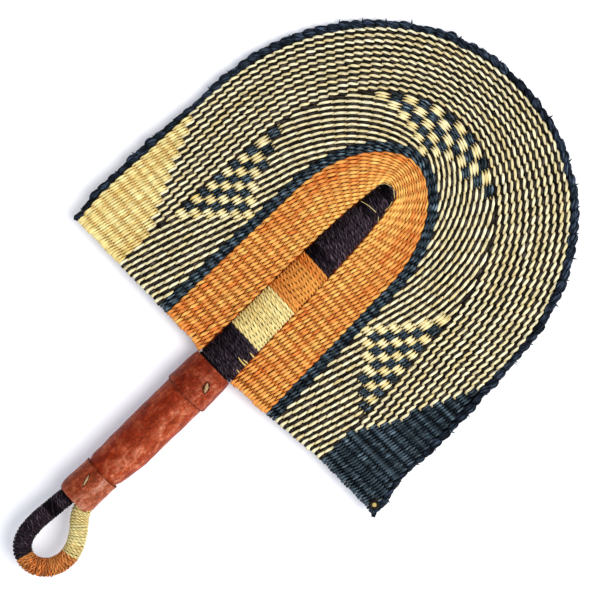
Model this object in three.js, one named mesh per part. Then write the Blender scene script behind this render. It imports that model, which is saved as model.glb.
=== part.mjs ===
// Woven grass hand fan: a split spine carries straw ribs, coloured grass strands are woven over
// and under the ribs in rows that run up one side, round the tip and down the other, grass is
// wound round the spine and round the hanging loop, and a leather sleeve with two collars is the grip.
// Millimetres. In the fan's own frame +Y runs along the spine to the tip and +Z is the front;
// the finished group lies on its back with +Z up and its lowest points on z = 0.
import * as THREE from 'three';

// Driving dimensions: blade
const BLADE_ARCH_HALF_WIDTH = 135.8;
const BLADE_BASE_FLARE = 3.4;
const BLADE_BASE_HALF_WIDTH = BLADE_ARCH_HALF_WIDTH + BLADE_BASE_FLARE;
const BLADE_BASE_Y = -6.6;
const ARCH_CENTRE_Y = 111;
const BLADE_TIP_Y = 267.6;
const ARCH_FULLNESS = 2.12;
const RIM_LEAN = 5.8;
const RIM_WIDTH = 5.6;
const RIM_THICKNESS = 6.4;
const RIM_SCALLOP = 0.9;
const RIM_FLAT_DEPTH = 0.5;

// Driving dimensions: coloured zones of the blade
const ORANGE_BASE_HALF_WIDTH = 45.5;
const ORANGE_ARCH_HALF_WIDTH = 42.9;
const ORANGE_TIP_Y = 179.5;
const BORDER_WIDTH = 7;
const PANEL_LEAN = -3.3;
const ORANGE_ROWS = 6;
const BORDER_ROWS = 2;
const FIELD_STRANDS = 7;

// Driving dimensions: ribs and strands
const RIB_RADIUS = 0.8;
const SIDE_RIBS = 12;
const ARCH_STEPS = 15;
const ARCH_STEPS_PER_MAIN_RIB = 3;
const STRAND_THICKNESS = 1.2;
const STRAND_GAP = 0.45;
const FIRST_RIB_INSET = 3.5;
const TURN_RISE_SHARE = 0.6;
const TURN_DEPTH_SHARE = 0.4;
const CLEARANCE = 0.35;

// Driving dimensions: spine and its windings
const SPINE_BASE_Y = -9.9;
const SPINE_TIP_Y = 155.8;
const SPINE_BASE_HALF_WIDTH = 14.2;
const SPINE_TIP_HALF_WIDTH = 9.4;
const SPINE_BASE_HALF_HEIGHT = 8.6;
const SPINE_TIP_HALF_HEIGHT = 7;
const SPINE_SHOULDER = 9;
const SPINE_LEAN = -3.4;
const WRAP_RADIUS = 1;
const WRAP_PITCH = 2.55;
const WRAP_SEAT = 0.65;
const BAND_TOP_BLACK_Y = 17.2;
const BAND_TOP_CREAM_Y = 52;
const BAND_TOP_ORANGE_Y = 84.2;
const BAND_TOP_UPPER_Y = 136;

// Driving dimensions: grip
const GRIP_TOP_Y = -10.6;
const GRIP_END_Y = -137;
const SLEEVE_RADIUS = 14.8;
const SLEEVE_WAIST_RADIUS = 13.3;
const SLEEVE_END_RADIUS = 11.7;
const SLEEVE_WALL = 2;
const SLEEVE_TAPER_START_Y = -90;
const SLEEVE_SETBACK = 8;
const UPPER_COLLAR_LENGTH = 28;
const LOWER_COLLAR_LENGTH = 25.5;
const COLLAR_WALL = 1.4;
const COLLAR_ROLL = 0.5;
const COLLAR_SWELL = 3;
const ROUND_SIDES = 24;

// Driving dimensions: hanging loop
const LOOP_CORE_RADIUS = 4.4;
const LOOP_STRAND_RADIUS = 0.75;
const LOOP_SEAT = 0.55;
const LOOP_PITCH = 3.9;
const LOOP_TAIL = 20;
const LOOP_ORANGE_SHARE = 0.457;
const LOOP_CREAM_SHARE = 0.66;
const LOOP_ROUTE = [
  [-6.2, -139], [-7.4, -152], [-8.1, -166], [-6.6, -176.6], [-2, -183.6], [5, -186.9],
  [13, -185.9], [19.8, -180.2], [23, -170.6], [21.9, -160.6], [16.8, -150.6], [8, -139.5],
];

const COLOURS = {
  straw: 0xe6d596, cream: 0xeedd96, dark: 0x232b35, orange: 0xe49a45, black: 0x241c29, leather: 0x9e462b,
};

const GRASS_ROUGHNESS = 0.75;
const LEATHER_ROUGHNESS = 0.6;

const fan = new THREE.Group();

function addPiece(name, geometry, colour, roughness = GRASS_ROUGHNESS) {
  const material = new THREE.MeshStandardMaterial({ color: COLOURS[colour], roughness, metalness: 0 });
  const mesh = new THREE.Mesh(geometry, material);
  mesh.name = name;
  fan.add(mesh);
}

// Closed skin over a run of rings that all have the same number of corners.
function skin(rings) {
  const sides = rings[0].length;
  const corners = rings.flat();
  const faces = [];
  for (let ring = 0; ring + 1 < rings.length; ring += 1) {
    for (let side = 0; side < sides; side += 1) {
      const next = (side + 1) % sides;
      const a = ring * sides + side;
      const b = ring * sides + next;
      faces.push([a, b, b + sides], [a, b + sides, a + sides]);
    }
  }
  const last = (rings.length - 1) * sides;
  for (let side = 1; side + 1 < sides; side += 1) {
    faces.push([0, side + 1, side], [last, last + side, last + side + 1]);
  }
  const cross = new THREE.Vector3();
  const wedge = ([a, b, c]) => cross.crossVectors(corners[b], corners[c]).dot(corners[a]);
  const volume = faces.reduce((sum, face) => sum + wedge(face), 0);
  const outward = volume > 0 ? faces : faces.map(([a, b, c]) => [a, c, b]);
  const geometry = new THREE.BufferGeometry();
  const numbers = corners.flatMap((corner) => corner.toArray());
  geometry.setAttribute('position', new THREE.Float32BufferAttribute(numbers, 3));
  geometry.setIndex(outward.flat());
  geometry.computeVertexNormals();
  return geometry;
}

// The rib stations run from the right base corner, round the tip, to the left base corner.
// A side station has a height, an arch station a share of the quarter arch from side to tip.
const firstRibY = BLADE_BASE_Y + FIRST_RIB_INSET;
const ribPitch = (ARCH_CENTRE_Y - firstRibY) / (SIDE_RIBS - 1);
const sideHeights = Array.from({ length: SIDE_RIBS }, (_, i) => firstRibY + i * ribPitch);

function makeStations() {
  const right = sideHeights.map((y) => ({ side: 1, y, main: true }));
  const arch = [];
  for (let step = 1; step < 2 * ARCH_STEPS; step += 1) {
    const share = 1 - Math.abs(step - ARCH_STEPS) / ARCH_STEPS;
    const side = step <= ARCH_STEPS ? 1 : -1;
    arch.push({ side, share, main: step % ARCH_STEPS_PER_MAIN_RIB === 0 });
  }
  const left = [...sideHeights].reverse().map((y) => ({ side: -1, y, main: true }));
  return [...right, ...arch, ...left];
}
const stations = makeStations();
const mainStations = stations.filter((station) => station.main);

// A quarter arch from the side of the blade to its tip, fuller than an ellipse.
class QuarterArch extends THREE.Curve {
  constructor(halfWidth, rise) {
    super();
    this.halfWidth = halfWidth;
    this.rise = rise;
  }

  getPoint(share) {
    const turn = (share * Math.PI) / 2;
    const bulge = (length, reach) => length * Math.max(reach, 0) ** (2 / ARCH_FULLNESS);
    const x = bulge(this.halfWidth, Math.cos(turn));
    return new THREE.Vector2(x, ARCH_CENTRE_Y + bulge(this.rise, Math.sin(turn)));
  }
}

// An outline is one edge line of the blade's zones: straight sides, then an arch over the tip.
// It leans to one side from a height of its own up to the tip.
function makeOutline(baseHalfWidth, archHalfWidth, tipY, lean, leanFrom) {
  const arch = new QuarterArch(archHalfWidth, tipY - ARCH_CENTRE_Y);
  return { baseHalfWidth, archHalfWidth, tipY, lean, leanFrom, arch };
}

function makeSpineOutline() {
  const margin = CLEARANCE + STRAND_GAP / 2;
  const shoulderY = SPINE_TIP_Y + margin - SPINE_SHOULDER;
  const shoulderHalfWidth = spineHalfWidth(shoulderY) + margin;
  const archHalfWidth = spineHalfWidth(ARCH_CENTRE_Y) + margin;
  const arch = new THREE.CurvePath();
  const sideEnd = new THREE.Vector2(shoulderHalfWidth, shoulderY);
  arch.add(new THREE.LineCurve(new THREE.Vector2(archHalfWidth, ARCH_CENTRE_Y), sideEnd));
  arch.add(new THREE.EllipseCurve(0, shoulderY, shoulderHalfWidth, SPINE_SHOULDER, 0, Math.PI / 2));
  const baseHalfWidth = spineHalfWidth(firstRibY) + margin;
  const tipY = SPINE_TIP_Y + margin;
  return { baseHalfWidth, archHalfWidth, tipY, lean: SPINE_LEAN, leanFrom: firstRibY, arch };
}

function leanAt({ lean, leanFrom, tipY }, y) {
  return (lean * Math.max(y - leanFrom, 0)) / (tipY - leanFrom);
}

function outlinePoint(outline, station) {
  let x;
  let y;
  if (station.share === undefined) {
    const along = (station.y - firstRibY) / (ARCH_CENTRE_Y - firstRibY);
    x = THREE.MathUtils.lerp(outline.baseHalfWidth, outline.archHalfWidth, along);
    y = station.y;
  } else {
    const point = outline.arch.getPointAt(station.share);
    x = point.x;
    y = point.y;
  }
  return new THREE.Vector3(station.side * x + leanAt(outline, y), y, 0);
}

function spineHalfWidth(y) {
  const along = (y - SPINE_BASE_Y) / (SPINE_TIP_Y - SPINE_BASE_Y);
  return THREE.MathUtils.lerp(SPINE_BASE_HALF_WIDTH, SPINE_TIP_HALF_WIDTH, along);
}

function spineHalfHeight(y) {
  const along = (y - SPINE_BASE_Y) / (SPINE_TIP_Y - SPINE_BASE_Y);
  return THREE.MathUtils.lerp(SPINE_BASE_HALF_HEIGHT, SPINE_TIP_HALF_HEIGHT, along);
}

function insetRim(inset) {
  const baseHalfWidth = BLADE_BASE_HALF_WIDTH - inset;
  const archHalfWidth = BLADE_ARCH_HALF_WIDTH - inset;
  return makeOutline(baseHalfWidth, archHalfWidth, BLADE_TIP_Y - inset, RIM_LEAN, ARCH_CENTRE_Y);
}

const foldInset = RIM_WIDTH + CLEARANCE + RIB_RADIUS;
const fieldInset = foldInset + RIB_RADIUS + CLEARANCE;
const spineOutline = makeSpineOutline();

function growPanel(growth) {
  const baseHalfWidth = ORANGE_BASE_HALF_WIDTH + growth;
  const archHalfWidth = ORANGE_ARCH_HALF_WIDTH + growth;
  return makeOutline(baseHalfWidth, archHalfWidth, ORANGE_TIP_Y + growth, PANEL_LEAN, firstRibY);
}
const orangeOutline = growPanel(0);
const borderOutline = growPanel(BORDER_WIDTH);
const fieldOutline = insetRim(fieldInset);
const foldOutline = insetRim(foldInset);
const rimInner = insetRim(RIM_WIDTH);
const rimOuter = insetRim(0);

// Ribs: diamond rods in the middle plane of the blade, mitred where they bend.
function ribGeometry(path) {
  const rings = path.map((point, i) => {
    const before = point.clone().sub(path[Math.max(i - 1, 0)]).normalize();
    const after = path[Math.min(i + 1, path.length - 1)].clone().sub(point).normalize();
    const along = before.add(after).normalize();
    const next = i + 1 < path.length ? path[i + 1].clone().sub(point) : point.clone().sub(path[i - 1]);
    const mitre = RIB_RADIUS / Math.abs(along.dot(next.normalize()));
    const across = new THREE.Vector3(-along.y, along.x, 0).multiplyScalar(mitre);
    const up = new THREE.Vector3(0, 0, RIB_RADIUS);
    return [across.clone().negate(), up, across, up.clone().negate()].map((corner) => corner.add(point));
  });
  return skin(rings);
}

const ribOutlines = [spineOutline, orangeOutline, borderOutline, fieldOutline, foldOutline];

function ribLeg(station, outlines) {
  return outlines.map((outline) => outlinePoint(outline, station));
}

// A straight rib lies right across the blade, between the two halves of the spine.
sideHeights.forEach((y, i) => {
  const ends = [-1, 1].map((side) => outlinePoint(foldOutline, { side, y }));
  addPiece(`side_rib_${i + 1}`, ribGeometry(ends), 'straw');
});

// A bent rib crosses the spine above the straight ones and fans out towards the tip.
const archMain = stations.filter((station) => station.share !== undefined && station.main);
const bentSteps = archMain.filter((station) => station.side > 0 && station.share < 1);
bentSteps.forEach((station, i) => {
  const leftLeg = ribLeg({ ...station, side: -1 }, ribOutlines).reverse();
  addPiece(`bent_rib_${i + 1}`, ribGeometry([...leftLeg, ...ribLeg(station, ribOutlines)]), 'straw');
});
const tipStation = archMain.find((station) => station.share === 1);
addPiece('tip_rib', ribGeometry(ribLeg(tipStation, ribOutlines)), 'straw');

// A rib pair is one straw bent over under the rim, with both legs tucked in at the dark border.
function tuckedLeg(station) {
  const [start, ...rest] = ribLeg(station, ribOutlines.slice(1));
  const inwards = rest[0].clone().sub(start).normalize();
  return [start.addScaledVector(inwards, CLEARANCE), ...rest];
}
const pairLegs = stations.filter((station) => !station.main);
for (let pair = 0; pair < pairLegs.length / 2; pair += 1) {
  const path = [...tuckedLeg(pairLegs[2 * pair]), ...tuckedLeg(pairLegs[2 * pair + 1]).reverse()];
  addPiece(`rib_pair_${pair + 1}`, ribGeometry(path), 'straw');
}

// Woven strands: each row passes over one rib and under the next, and the next row the other way.
const overHeight = RIB_RADIUS + CLEARANCE + STRAND_THICKNESS / 2;
const turnHeight = TURN_RISE_SHARE * overHeight;
const turnDrop = 2 * RIB_RADIUS;

function rowEdges(zone, row, station) {
  const inner = outlinePoint(zone.inner, station);
  const across = outlinePoint(zone.outer, station).sub(inner);
  const unit = across.clone().normalize();
  const rowLine = (rows) => inner.clone().addScaledVector(across, rows / zone.rows);
  const near = rowLine(row).addScaledVector(unit, STRAND_GAP / 2);
  const far = rowLine(row + 1).addScaledVector(unit, -STRAND_GAP / 2);
  return [near, far];
}

// Lens-shaped cross-section between the strand's two edges.
function strandRing(left, right, height) {
  const middle = left.clone().add(right).multiplyScalar(0.5);
  const lift = (point, z) => new THREE.Vector3(point.x, point.y, height + z);
  const half = STRAND_THICKNESS / 2;
  return [lift(left, 0), lift(middle, half), lift(right, 0), lift(middle, -half)];
}

function rowRings(zone, row, outwardFirst) {
  const order = outwardFirst ? zone.stations : [...zone.stations].reverse();
  return order.map((station) => {
    const [near, far] = rowEdges(zone, row, station);
    const over = (zone.stations.indexOf(station) + row) % 2 === 0 ? 1 : -1;
    const [left, right] = outwardFirst ? [near, far] : [far, near];
    return strandRing(left, right, over * overHeight);
  });
}

// The strand folds round the first rib and goes back along the next row on the other face.
function turnRings(zone, row, side) {
  const station = side > 0 ? zone.stations[0] : zone.stations[zone.stations.length - 1];
  const [near, far] = rowEdges(zone, row, station);
  const width = Math.abs(far.x - near.x);
  const pivot = new THREE.Vector3(far.x + (side * STRAND_GAP) / 2, far.y - turnDrop, 0);
  const over = (zone.stations.indexOf(station) + row) % 2 === 0 ? 1 : -1;
  const rings = [];
  const turnSteps = 4;
  for (let step = 0; step <= turnSteps; step += 1) {
    const angle = (step * Math.PI) / turnSteps;
    const reach = new THREE.Vector3(-side * Math.cos(angle), -TURN_DEPTH_SHARE * Math.sin(angle), 0);
    const inside = pivot.clone().addScaledVector(reach, STRAND_GAP / 2);
    const outside = pivot.clone().addScaledVector(reach, STRAND_GAP / 2 + width);
    const height = over * turnHeight * Math.cos(angle);
    rings.push(side > 0 ? strandRing(inside, outside, height) : strandRing(outside, inside, height));
  }
  return rings;
}

function endRing(ring) {
  const height = ring[0].z;
  const shift = new THREE.Vector3(0, -turnDrop, Math.sign(height) * turnHeight - height);
  return ring.map((corner) => corner.clone().add(shift));
}

// One unbroken strand through a run of rows, folding at alternate base corners.
function strandGeometry(zone, firstRow, rowCount, startSide) {
  let rings = [];
  let side = startSide;
  for (let i = 0; i < rowCount; i += 1) {
    const row = firstRow + i;
    rings = rings.concat(rowRings(zone, row, side > 0));
    side = -side;
    if (i + 1 < rowCount) {
      rings = rings.concat(turnRings(zone, row, side));
    }
  }
  return skin([endRing(rings[0]), ...rings, endRing(rings[rings.length - 1])]);
}

const fieldRows = 2 * FIELD_STRANDS;
const orangeZone = { inner: spineOutline, outer: orangeOutline, rows: ORANGE_ROWS, stations: mainStations };
const borderZone = { inner: orangeOutline, outer: borderOutline, rows: BORDER_ROWS, stations };
const fieldZone = { inner: borderOutline, outer: fieldOutline, rows: fieldRows, stations };
addPiece('orange_weft', strandGeometry(orangeZone, 0, ORANGE_ROWS, 1), 'orange');
addPiece('border_weft', strandGeometry(borderZone, 0, BORDER_ROWS, 1), 'dark');
for (let strand = 0; strand < FIELD_STRANDS; strand += 1) {
  const startSide = strand % 2 === 0 ? -1 : 1;
  const colour = strand % 2 === 0 ? 'cream' : 'dark';
  addPiece(`field_weft_${strand + 1}`, strandGeometry(fieldZone, 2 * strand, 2, startSide), colour);
}

// The fan lies on the blade end of its upper collar and on the rim at the tip.
const collarRadius = SLEEVE_RADIUS + CLEARANCE + COLLAR_WALL;
const collarDrop = collarRadius * Math.cos(Math.PI / ROUND_SIDES);
const rimTread = RIM_WIDTH / 4;
const restRise = collarDrop - RIM_THICKNESS / 2;
const restRun = BLADE_TIP_Y - rimTread - (GRIP_TOP_Y - COLLAR_ROLL);
const tilt = Math.acos(-RIM_FLAT_DEPTH / Math.hypot(restRise, restRun)) - Math.atan2(restRun, restRise);
const floorDrop = collarDrop * Math.cos(tilt) + (GRIP_TOP_Y - COLLAR_ROLL) * Math.sin(tilt);
const floorAt = (y) => (y * Math.sin(tilt) - floorDrop) / Math.cos(tilt);

// Rim: a bound edge that swells between the ribs, flat underneath where it lies on the ground.
function rimRing(inner, outer, swell) {
  const across = outer.clone().sub(inner);
  const width = across.length() - RIM_SCALLOP + swell;
  across.normalize();
  const at = (share, z) => {
    const point = inner.clone().addScaledVector(across, share * width);
    point.z = Math.max(z, floorAt(point.y));
    return point;
  };
  const half = RIM_THICKNESS / 2;
  const tread = rimTread / RIM_WIDTH;
  return [at(0, 0), at(tread, half), at(1 - tread, half), at(1, 0), at(1 - tread, -half), at(tread, -half)];
}

function rimGeometry() {
  const inner = stations.map((station) => outlinePoint(rimInner, station));
  const outer = stations.map((station) => outlinePoint(rimOuter, station));
  const drop = new THREE.Vector3(0, -FIRST_RIB_INSET, 0);
  const rings = [rimRing(inner[0].clone().add(drop), outer[0].clone().add(drop), 0)];
  stations.forEach((_, i) => {
    rings.push(rimRing(inner[i], outer[i], 0));
    if (i + 1 < stations.length) {
      const middle = (points) => points[i].clone().add(points[i + 1]).multiplyScalar(0.5);
      rings.push(rimRing(middle(inner), middle(outer), RIM_SCALLOP));
    }
  });
  const last = stations.length - 1;
  rings.push(rimRing(inner[last].clone().add(drop), outer[last].clone().add(drop), 0));
  return skin(rings);
}
addPiece('rim_binding', rimGeometry(), 'dark');

// Oval outline of the spine, the same ten corners for the halves and for the windings round them.
const OVAL_CORNERS = 10;
const cornerAngle = (corner) => ((corner + 0.5) * 2 * Math.PI) / OVAL_CORNERS;

function ovalPoint(halfWidth, halfHeight, y, angle) {
  const middle = leanAt({ lean: SPINE_LEAN, leanFrom: firstRibY, tipY: SPINE_TIP_Y }, y);
  return new THREE.Vector3(middle + halfWidth * Math.cos(angle), y, halfHeight * Math.sin(angle));
}

const wrapDepth = 2 * WRAP_RADIUS + WRAP_SEAT;
const splitHeight = RIB_RADIUS + CLEARANCE;

// Spine halves: half-round in the grip, flat ovals in the blade, rounded off at the tip.
function spineHalf(front) {
  const inGrip = (y, sleeveRadius) => {
    const radius = sleeveRadius - SLEEVE_WALL - CLEARANCE;
    return [y, radius, radius];
  };
  const sections = [
    inGrip(GRIP_END_Y + LOOP_TAIL + CLEARANCE, SLEEVE_END_RADIUS),
    inGrip(GRIP_END_Y + LOWER_COLLAR_LENGTH, SLEEVE_END_RADIUS),
    inGrip(SLEEVE_TAPER_START_Y, SLEEVE_WAIST_RADIUS),
    inGrip(GRIP_TOP_Y - SPINE_SHOULDER, SLEEVE_RADIUS),
  ];
  const tipStart = SPINE_TIP_Y - SPINE_SHOULDER;
  for (const y of [SPINE_BASE_Y, tipStart]) {
    sections.push([y, spineHalfWidth(y) - wrapDepth, spineHalfHeight(y) - wrapDepth]);
  }
  const tipSteps = 3;
  for (let step = 1; step <= tipSteps; step += 1) {
    const turn = (step / (tipSteps + 1)) * (Math.PI / 2);
    const y = tipStart + SPINE_SHOULDER * Math.sin(turn);
    const height = Math.max((spineHalfHeight(y) - wrapDepth) * Math.cos(turn), 2 * splitHeight);
    sections.push([y, (spineHalfWidth(y) - wrapDepth) * Math.cos(turn), height]);
  }
  const face = front ? 1 : -1;
  const rings = sections.map(([y, halfWidth, halfHeight]) => {
    const corners = Array.from({ length: OVAL_CORNERS / 2 }, (_, i) => i);
    const arc = corners.map((corner) => ovalPoint(halfWidth, halfHeight, y, cornerAngle(corner)));
    const flat = [arc[arc.length - 1], arc[0]];
    const lifted = (point, z) => new THREE.Vector3(point.x, y, face * z);
    return [
      ...arc.map((point) => lifted(point, Math.max(point.z, splitHeight + CLEARANCE))),
      ...flat.map((point) => lifted(point, splitHeight)),
    ];
  });
  return skin(rings);
}
addPiece('spine_front', spineHalf(true), 'straw');
addPiece('spine_back', spineHalf(false), 'straw');

// A winding's strand: a four-cornered tube through centre points, with its outward directions.
function woundTube(points, outwards, radius) {
  const rings = points.map((point, i) => {
    const before = points[Math.max(i - 1, 0)];
    const along = points[Math.min(i + 1, points.length - 1)].clone().sub(before);
    const across = new THREE.Vector3().crossVectors(along, outwards[i]).setLength(radius);
    const out = outwards[i].clone().setLength(radius);
    return [out, across, out.clone().negate(), across.clone().negate()].map((corner) => corner.add(point));
  });
  return skin(rings);
}

// Least gap of a winding to itself, measured on points along its centre line.
function reportSelfGap(name, points, cornersPerTurn, radius) {
  const shares = [0, 0.25, 0.5, 0.75];
  const between = (i) => shares.map((share) => points[i].clone().lerp(points[i + 1], share));
  const samples = points.slice(0, -1).flatMap((_, i) => between(i));
  const apart = Math.floor(0.5 * cornersPerTurn * shares.length);
  let least = Infinity;
  samples.forEach((point, i) => {
    for (let j = i + apart; j < samples.length; j += 1) {
      least = Math.min(least, point.distanceTo(samples[j]));
    }
  });
  console.log(`${name}: least gap to itself ${(least - 2 * radius).toFixed(2)} mm`);
}

// Turns lie side by side between the ribs, straight across the front, and step on at the back.
const crossingHeights = [
  ...sideHeights, ...bentSteps.map((station) => outlinePoint(spineOutline, station).y),
];

function turnHeights() {
  const reach = RIB_RADIUS + CLEARANCE + WRAP_RADIUS;
  const turns = [];
  const stops = [SPINE_BASE_Y - RIB_RADIUS, ...crossingHeights];
  for (let i = 0; i + 1 < stops.length; i += 1) {
    const room = stops[i + 1] - stops[i] - 2 * reach;
    const count = Math.floor(room / WRAP_PITCH) + 1;
    const first = (stops[i] + stops[i + 1] - (count - 1) * WRAP_PITCH) / 2;
    for (let turn = 0; turn < count; turn += 1) {
      turns.push(first + turn * WRAP_PITCH);
    }
  }
  return turns;
}
const allTurns = turnHeights();

function addSpineWinding(name, colour, fromY, toY) {
  const turns = allTurns.filter((y) => y > fromY && y <= toY);
  const points = [];
  const outwards = [];
  const addCorner = (y, corner) => {
    const angle = cornerAngle(corner);
    const halfWidth = spineHalfWidth(y) - WRAP_RADIUS;
    const halfHeight = spineHalfHeight(y) - WRAP_RADIUS;
    points.push(ovalPoint(halfWidth, halfHeight, y, angle));
    outwards.push(new THREE.Vector3(Math.cos(angle) / halfWidth, 0, Math.sin(angle) / halfHeight));
  };
  const front = [5, 4, 3, 2, 1, 0, 9];
  const back = [8, 7, 6];
  addCorner(turns[0] - WRAP_PITCH / (back.length + 1), 6);
  turns.forEach((y, i) => {
    front.forEach((corner) => addCorner(y, corner));
    const isLast = i + 1 === turns.length;
    const step = (isLast ? WRAP_PITCH : turns[i + 1] - y) / (back.length + 1);
    const backRun = isLast ? back.slice(0, 1) : back;
    backRun.forEach((corner, j) => addCorner(y + step * (j + 1), corner));
  });
  reportSelfGap(name, points, OVAL_CORNERS, WRAP_RADIUS);
  addPiece(name, woundTube(points, outwards, WRAP_RADIUS), colour);
}
addSpineWinding('wrap_base_black', 'black', -Infinity, BAND_TOP_BLACK_Y);
addSpineWinding('wrap_cream', 'cream', BAND_TOP_BLACK_Y, BAND_TOP_CREAM_Y);
addSpineWinding('wrap_orange', 'orange', BAND_TOP_CREAM_Y, BAND_TOP_ORANGE_Y);
addSpineWinding('wrap_upper_black', 'black', BAND_TOP_ORANGE_Y, BAND_TOP_UPPER_Y);
addSpineWinding('wrap_tip_black', 'black', BAND_TOP_UPPER_Y, Infinity);

// Grip: turned leather tubes about the Y axis with a flat facet underneath.
function turned(profile) {
  const points = [...profile, profile[0]].map(([radius, y]) => new THREE.Vector2(radius, y));
  return new THREE.LatheGeometry(points, ROUND_SIDES, Math.PI / ROUND_SIDES);
}

function sleeveGeometry() {
  const stops = [
    [SLEEVE_END_RADIUS, GRIP_END_Y + SLEEVE_SETBACK],
    [SLEEVE_END_RADIUS, GRIP_END_Y + LOWER_COLLAR_LENGTH],
    [SLEEVE_WAIST_RADIUS, GRIP_END_Y + LOWER_COLLAR_LENGTH + COLLAR_SWELL],
    [SLEEVE_RADIUS, SLEEVE_TAPER_START_Y],
    [SLEEVE_RADIUS, GRIP_TOP_Y],
  ];
  const bore = [...stops].reverse().map(([radius, y]) => [radius - SLEEVE_WALL, y]);
  return turned([...stops, ...bore]);
}
addPiece('grip_sleeve', sleeveGeometry(), 'leather', LEATHER_ROUGHNESS);

function collarGeometry(lowY, highY, boreRadius) {
  const outer = boreRadius + COLLAR_WALL;
  return turned([
    [boreRadius, lowY], [outer - COLLAR_ROLL, lowY], [outer, lowY + COLLAR_ROLL],
    [outer, highY - COLLAR_ROLL], [outer - COLLAR_ROLL, highY], [boreRadius, highY],
  ]);
}
const upperCollarY = GRIP_TOP_Y - UPPER_COLLAR_LENGTH;
const lowerCollarTopY = GRIP_END_Y + LOWER_COLLAR_LENGTH;
const upperCollar = collarGeometry(upperCollarY, GRIP_TOP_Y, SLEEVE_RADIUS + CLEARANCE);
const lowerCollar = collarGeometry(GRIP_END_Y, lowerCollarTopY, SLEEVE_END_RADIUS + CLEARANCE);
addPiece('upper_collar', upperCollar, 'leather', LEATHER_ROUGHNESS);
addPiece('lower_collar', lowerCollar, 'leather', LEATHER_ROUGHNESS);

// Hanging loop: a bent grass core whose two tails sit side by side in the end of the sleeve.
const LOOP_CORNERS = 8;
const tailX = LOOP_CORE_RADIUS + CLEARANCE;
const loopRoute = [
  [-tailX, GRIP_END_Y + LOOP_TAIL], [-tailX, GRIP_END_Y + SLEEVE_SETBACK], ...LOOP_ROUTE,
  [tailX, GRIP_END_Y + SLEEVE_SETBACK], [tailX, GRIP_END_Y + LOOP_TAIL],
].map(([x, y]) => new THREE.Vector3(x, y, 0));
const loopCurve = new THREE.CatmullRomCurve3(loopRoute, false, 'centripetal');
const loopLength = loopCurve.getLength();

// Corner of a ring round the loop's centre line, at a share of its length.
function loopCorner(share, corner, radius) {
  const point = loopCurve.getPointAt(share);
  const along = loopCurve.getTangentAt(share);
  const angle = (corner * 2 * Math.PI) / LOOP_CORNERS;
  const across = new THREE.Vector3(-along.y, along.x, 0).multiplyScalar(Math.cos(angle));
  const outward = across.add(new THREE.Vector3(0, 0, Math.sin(angle)));
  return { point: point.addScaledVector(outward, radius), outward };
}

function loopCoreGeometry() {
  const steps = Math.round(loopLength / LOOP_CORE_RADIUS);
  const corners = Array.from({ length: LOOP_CORNERS }, (_, i) => i);
  const ring = (share) => corners.map((corner) => loopCorner(share, corner, LOOP_CORE_RADIUS).point);
  return skin(Array.from({ length: steps + 1 }, (_, i) => ring(i / steps)));
}
addPiece('loop_core', loopCoreGeometry(), 'straw');

const windingRadius = LOOP_CORE_RADIUS + LOOP_SEAT + LOOP_STRAND_RADIUS;

function addLoopWinding(name, colour, from, to) {
  const corners = Math.round(((to - from) * loopLength * LOOP_CORNERS) / LOOP_PITCH);
  const shareAt = (i) => from + ((to - from) * i) / corners;
  const turns = Array.from({ length: corners }, (_, i) => loopCorner(shareAt(i), i, windingRadius));
  const points = turns.map((turn) => turn.point);
  reportSelfGap(name, points, LOOP_CORNERS, LOOP_STRAND_RADIUS);
  addPiece(name, woundTube(points, turns.map((turn) => turn.outward), LOOP_STRAND_RADIUS), colour);
}
// The winding of a leg that leaves the collar at a slant starts lower, clear of the collar's end.
function bareShare(legEnd) {
  const bare = LOOP_TAIL + LOOP_STRAND_RADIUS + 2 * CLEARANCE;
  const slant = Math.abs(loopCurve.getTangentAt(Math.abs(legEnd - bare / loopLength)).x);
  return (bare + slant * windingRadius) / loopLength;
}
const bandGap = (2 * LOOP_STRAND_RADIUS + CLEARANCE) / loopLength;
addLoopWinding('loop_wrap_black', 'black', bareShare(0), LOOP_ORANGE_SHARE - bandGap);
addLoopWinding('loop_wrap_orange', 'orange', LOOP_ORANGE_SHARE, LOOP_CREAM_SHARE - bandGap);
addLoopWinding('loop_wrap_cream', 'cream', LOOP_CREAM_SHARE, 1 - bareShare(1));

// Lay the fan on its back and put the middle of its footprint at the origin.
fan.rotation.x = -tilt;
fan.position.z = floorDrop;
const part = new THREE.Group();
part.add(fan);
part.updateMatrixWorld(true);
const box = new THREE.Box3().setFromObject(part, true);
fan.position.x -= (box.min.x + box.max.x) / 2;
fan.position.y -= (box.min.y + box.max.y) / 2;

export default part;
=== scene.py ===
"""Looks of the woven grass fan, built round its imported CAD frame.

Sizes are millimetres in the fan's own frame, where +Y runs along the spine to the tip of the blade
and +Z is the front. FanFrame lays the finished pieces where the CAD part lies.
"""

import logging
import math
from dataclasses import astuple, dataclass, field, replace
from enum import Enum
from typing import NamedTuple

import bpy
import numpy as np
from mathutils import Matrix, Vector


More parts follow.
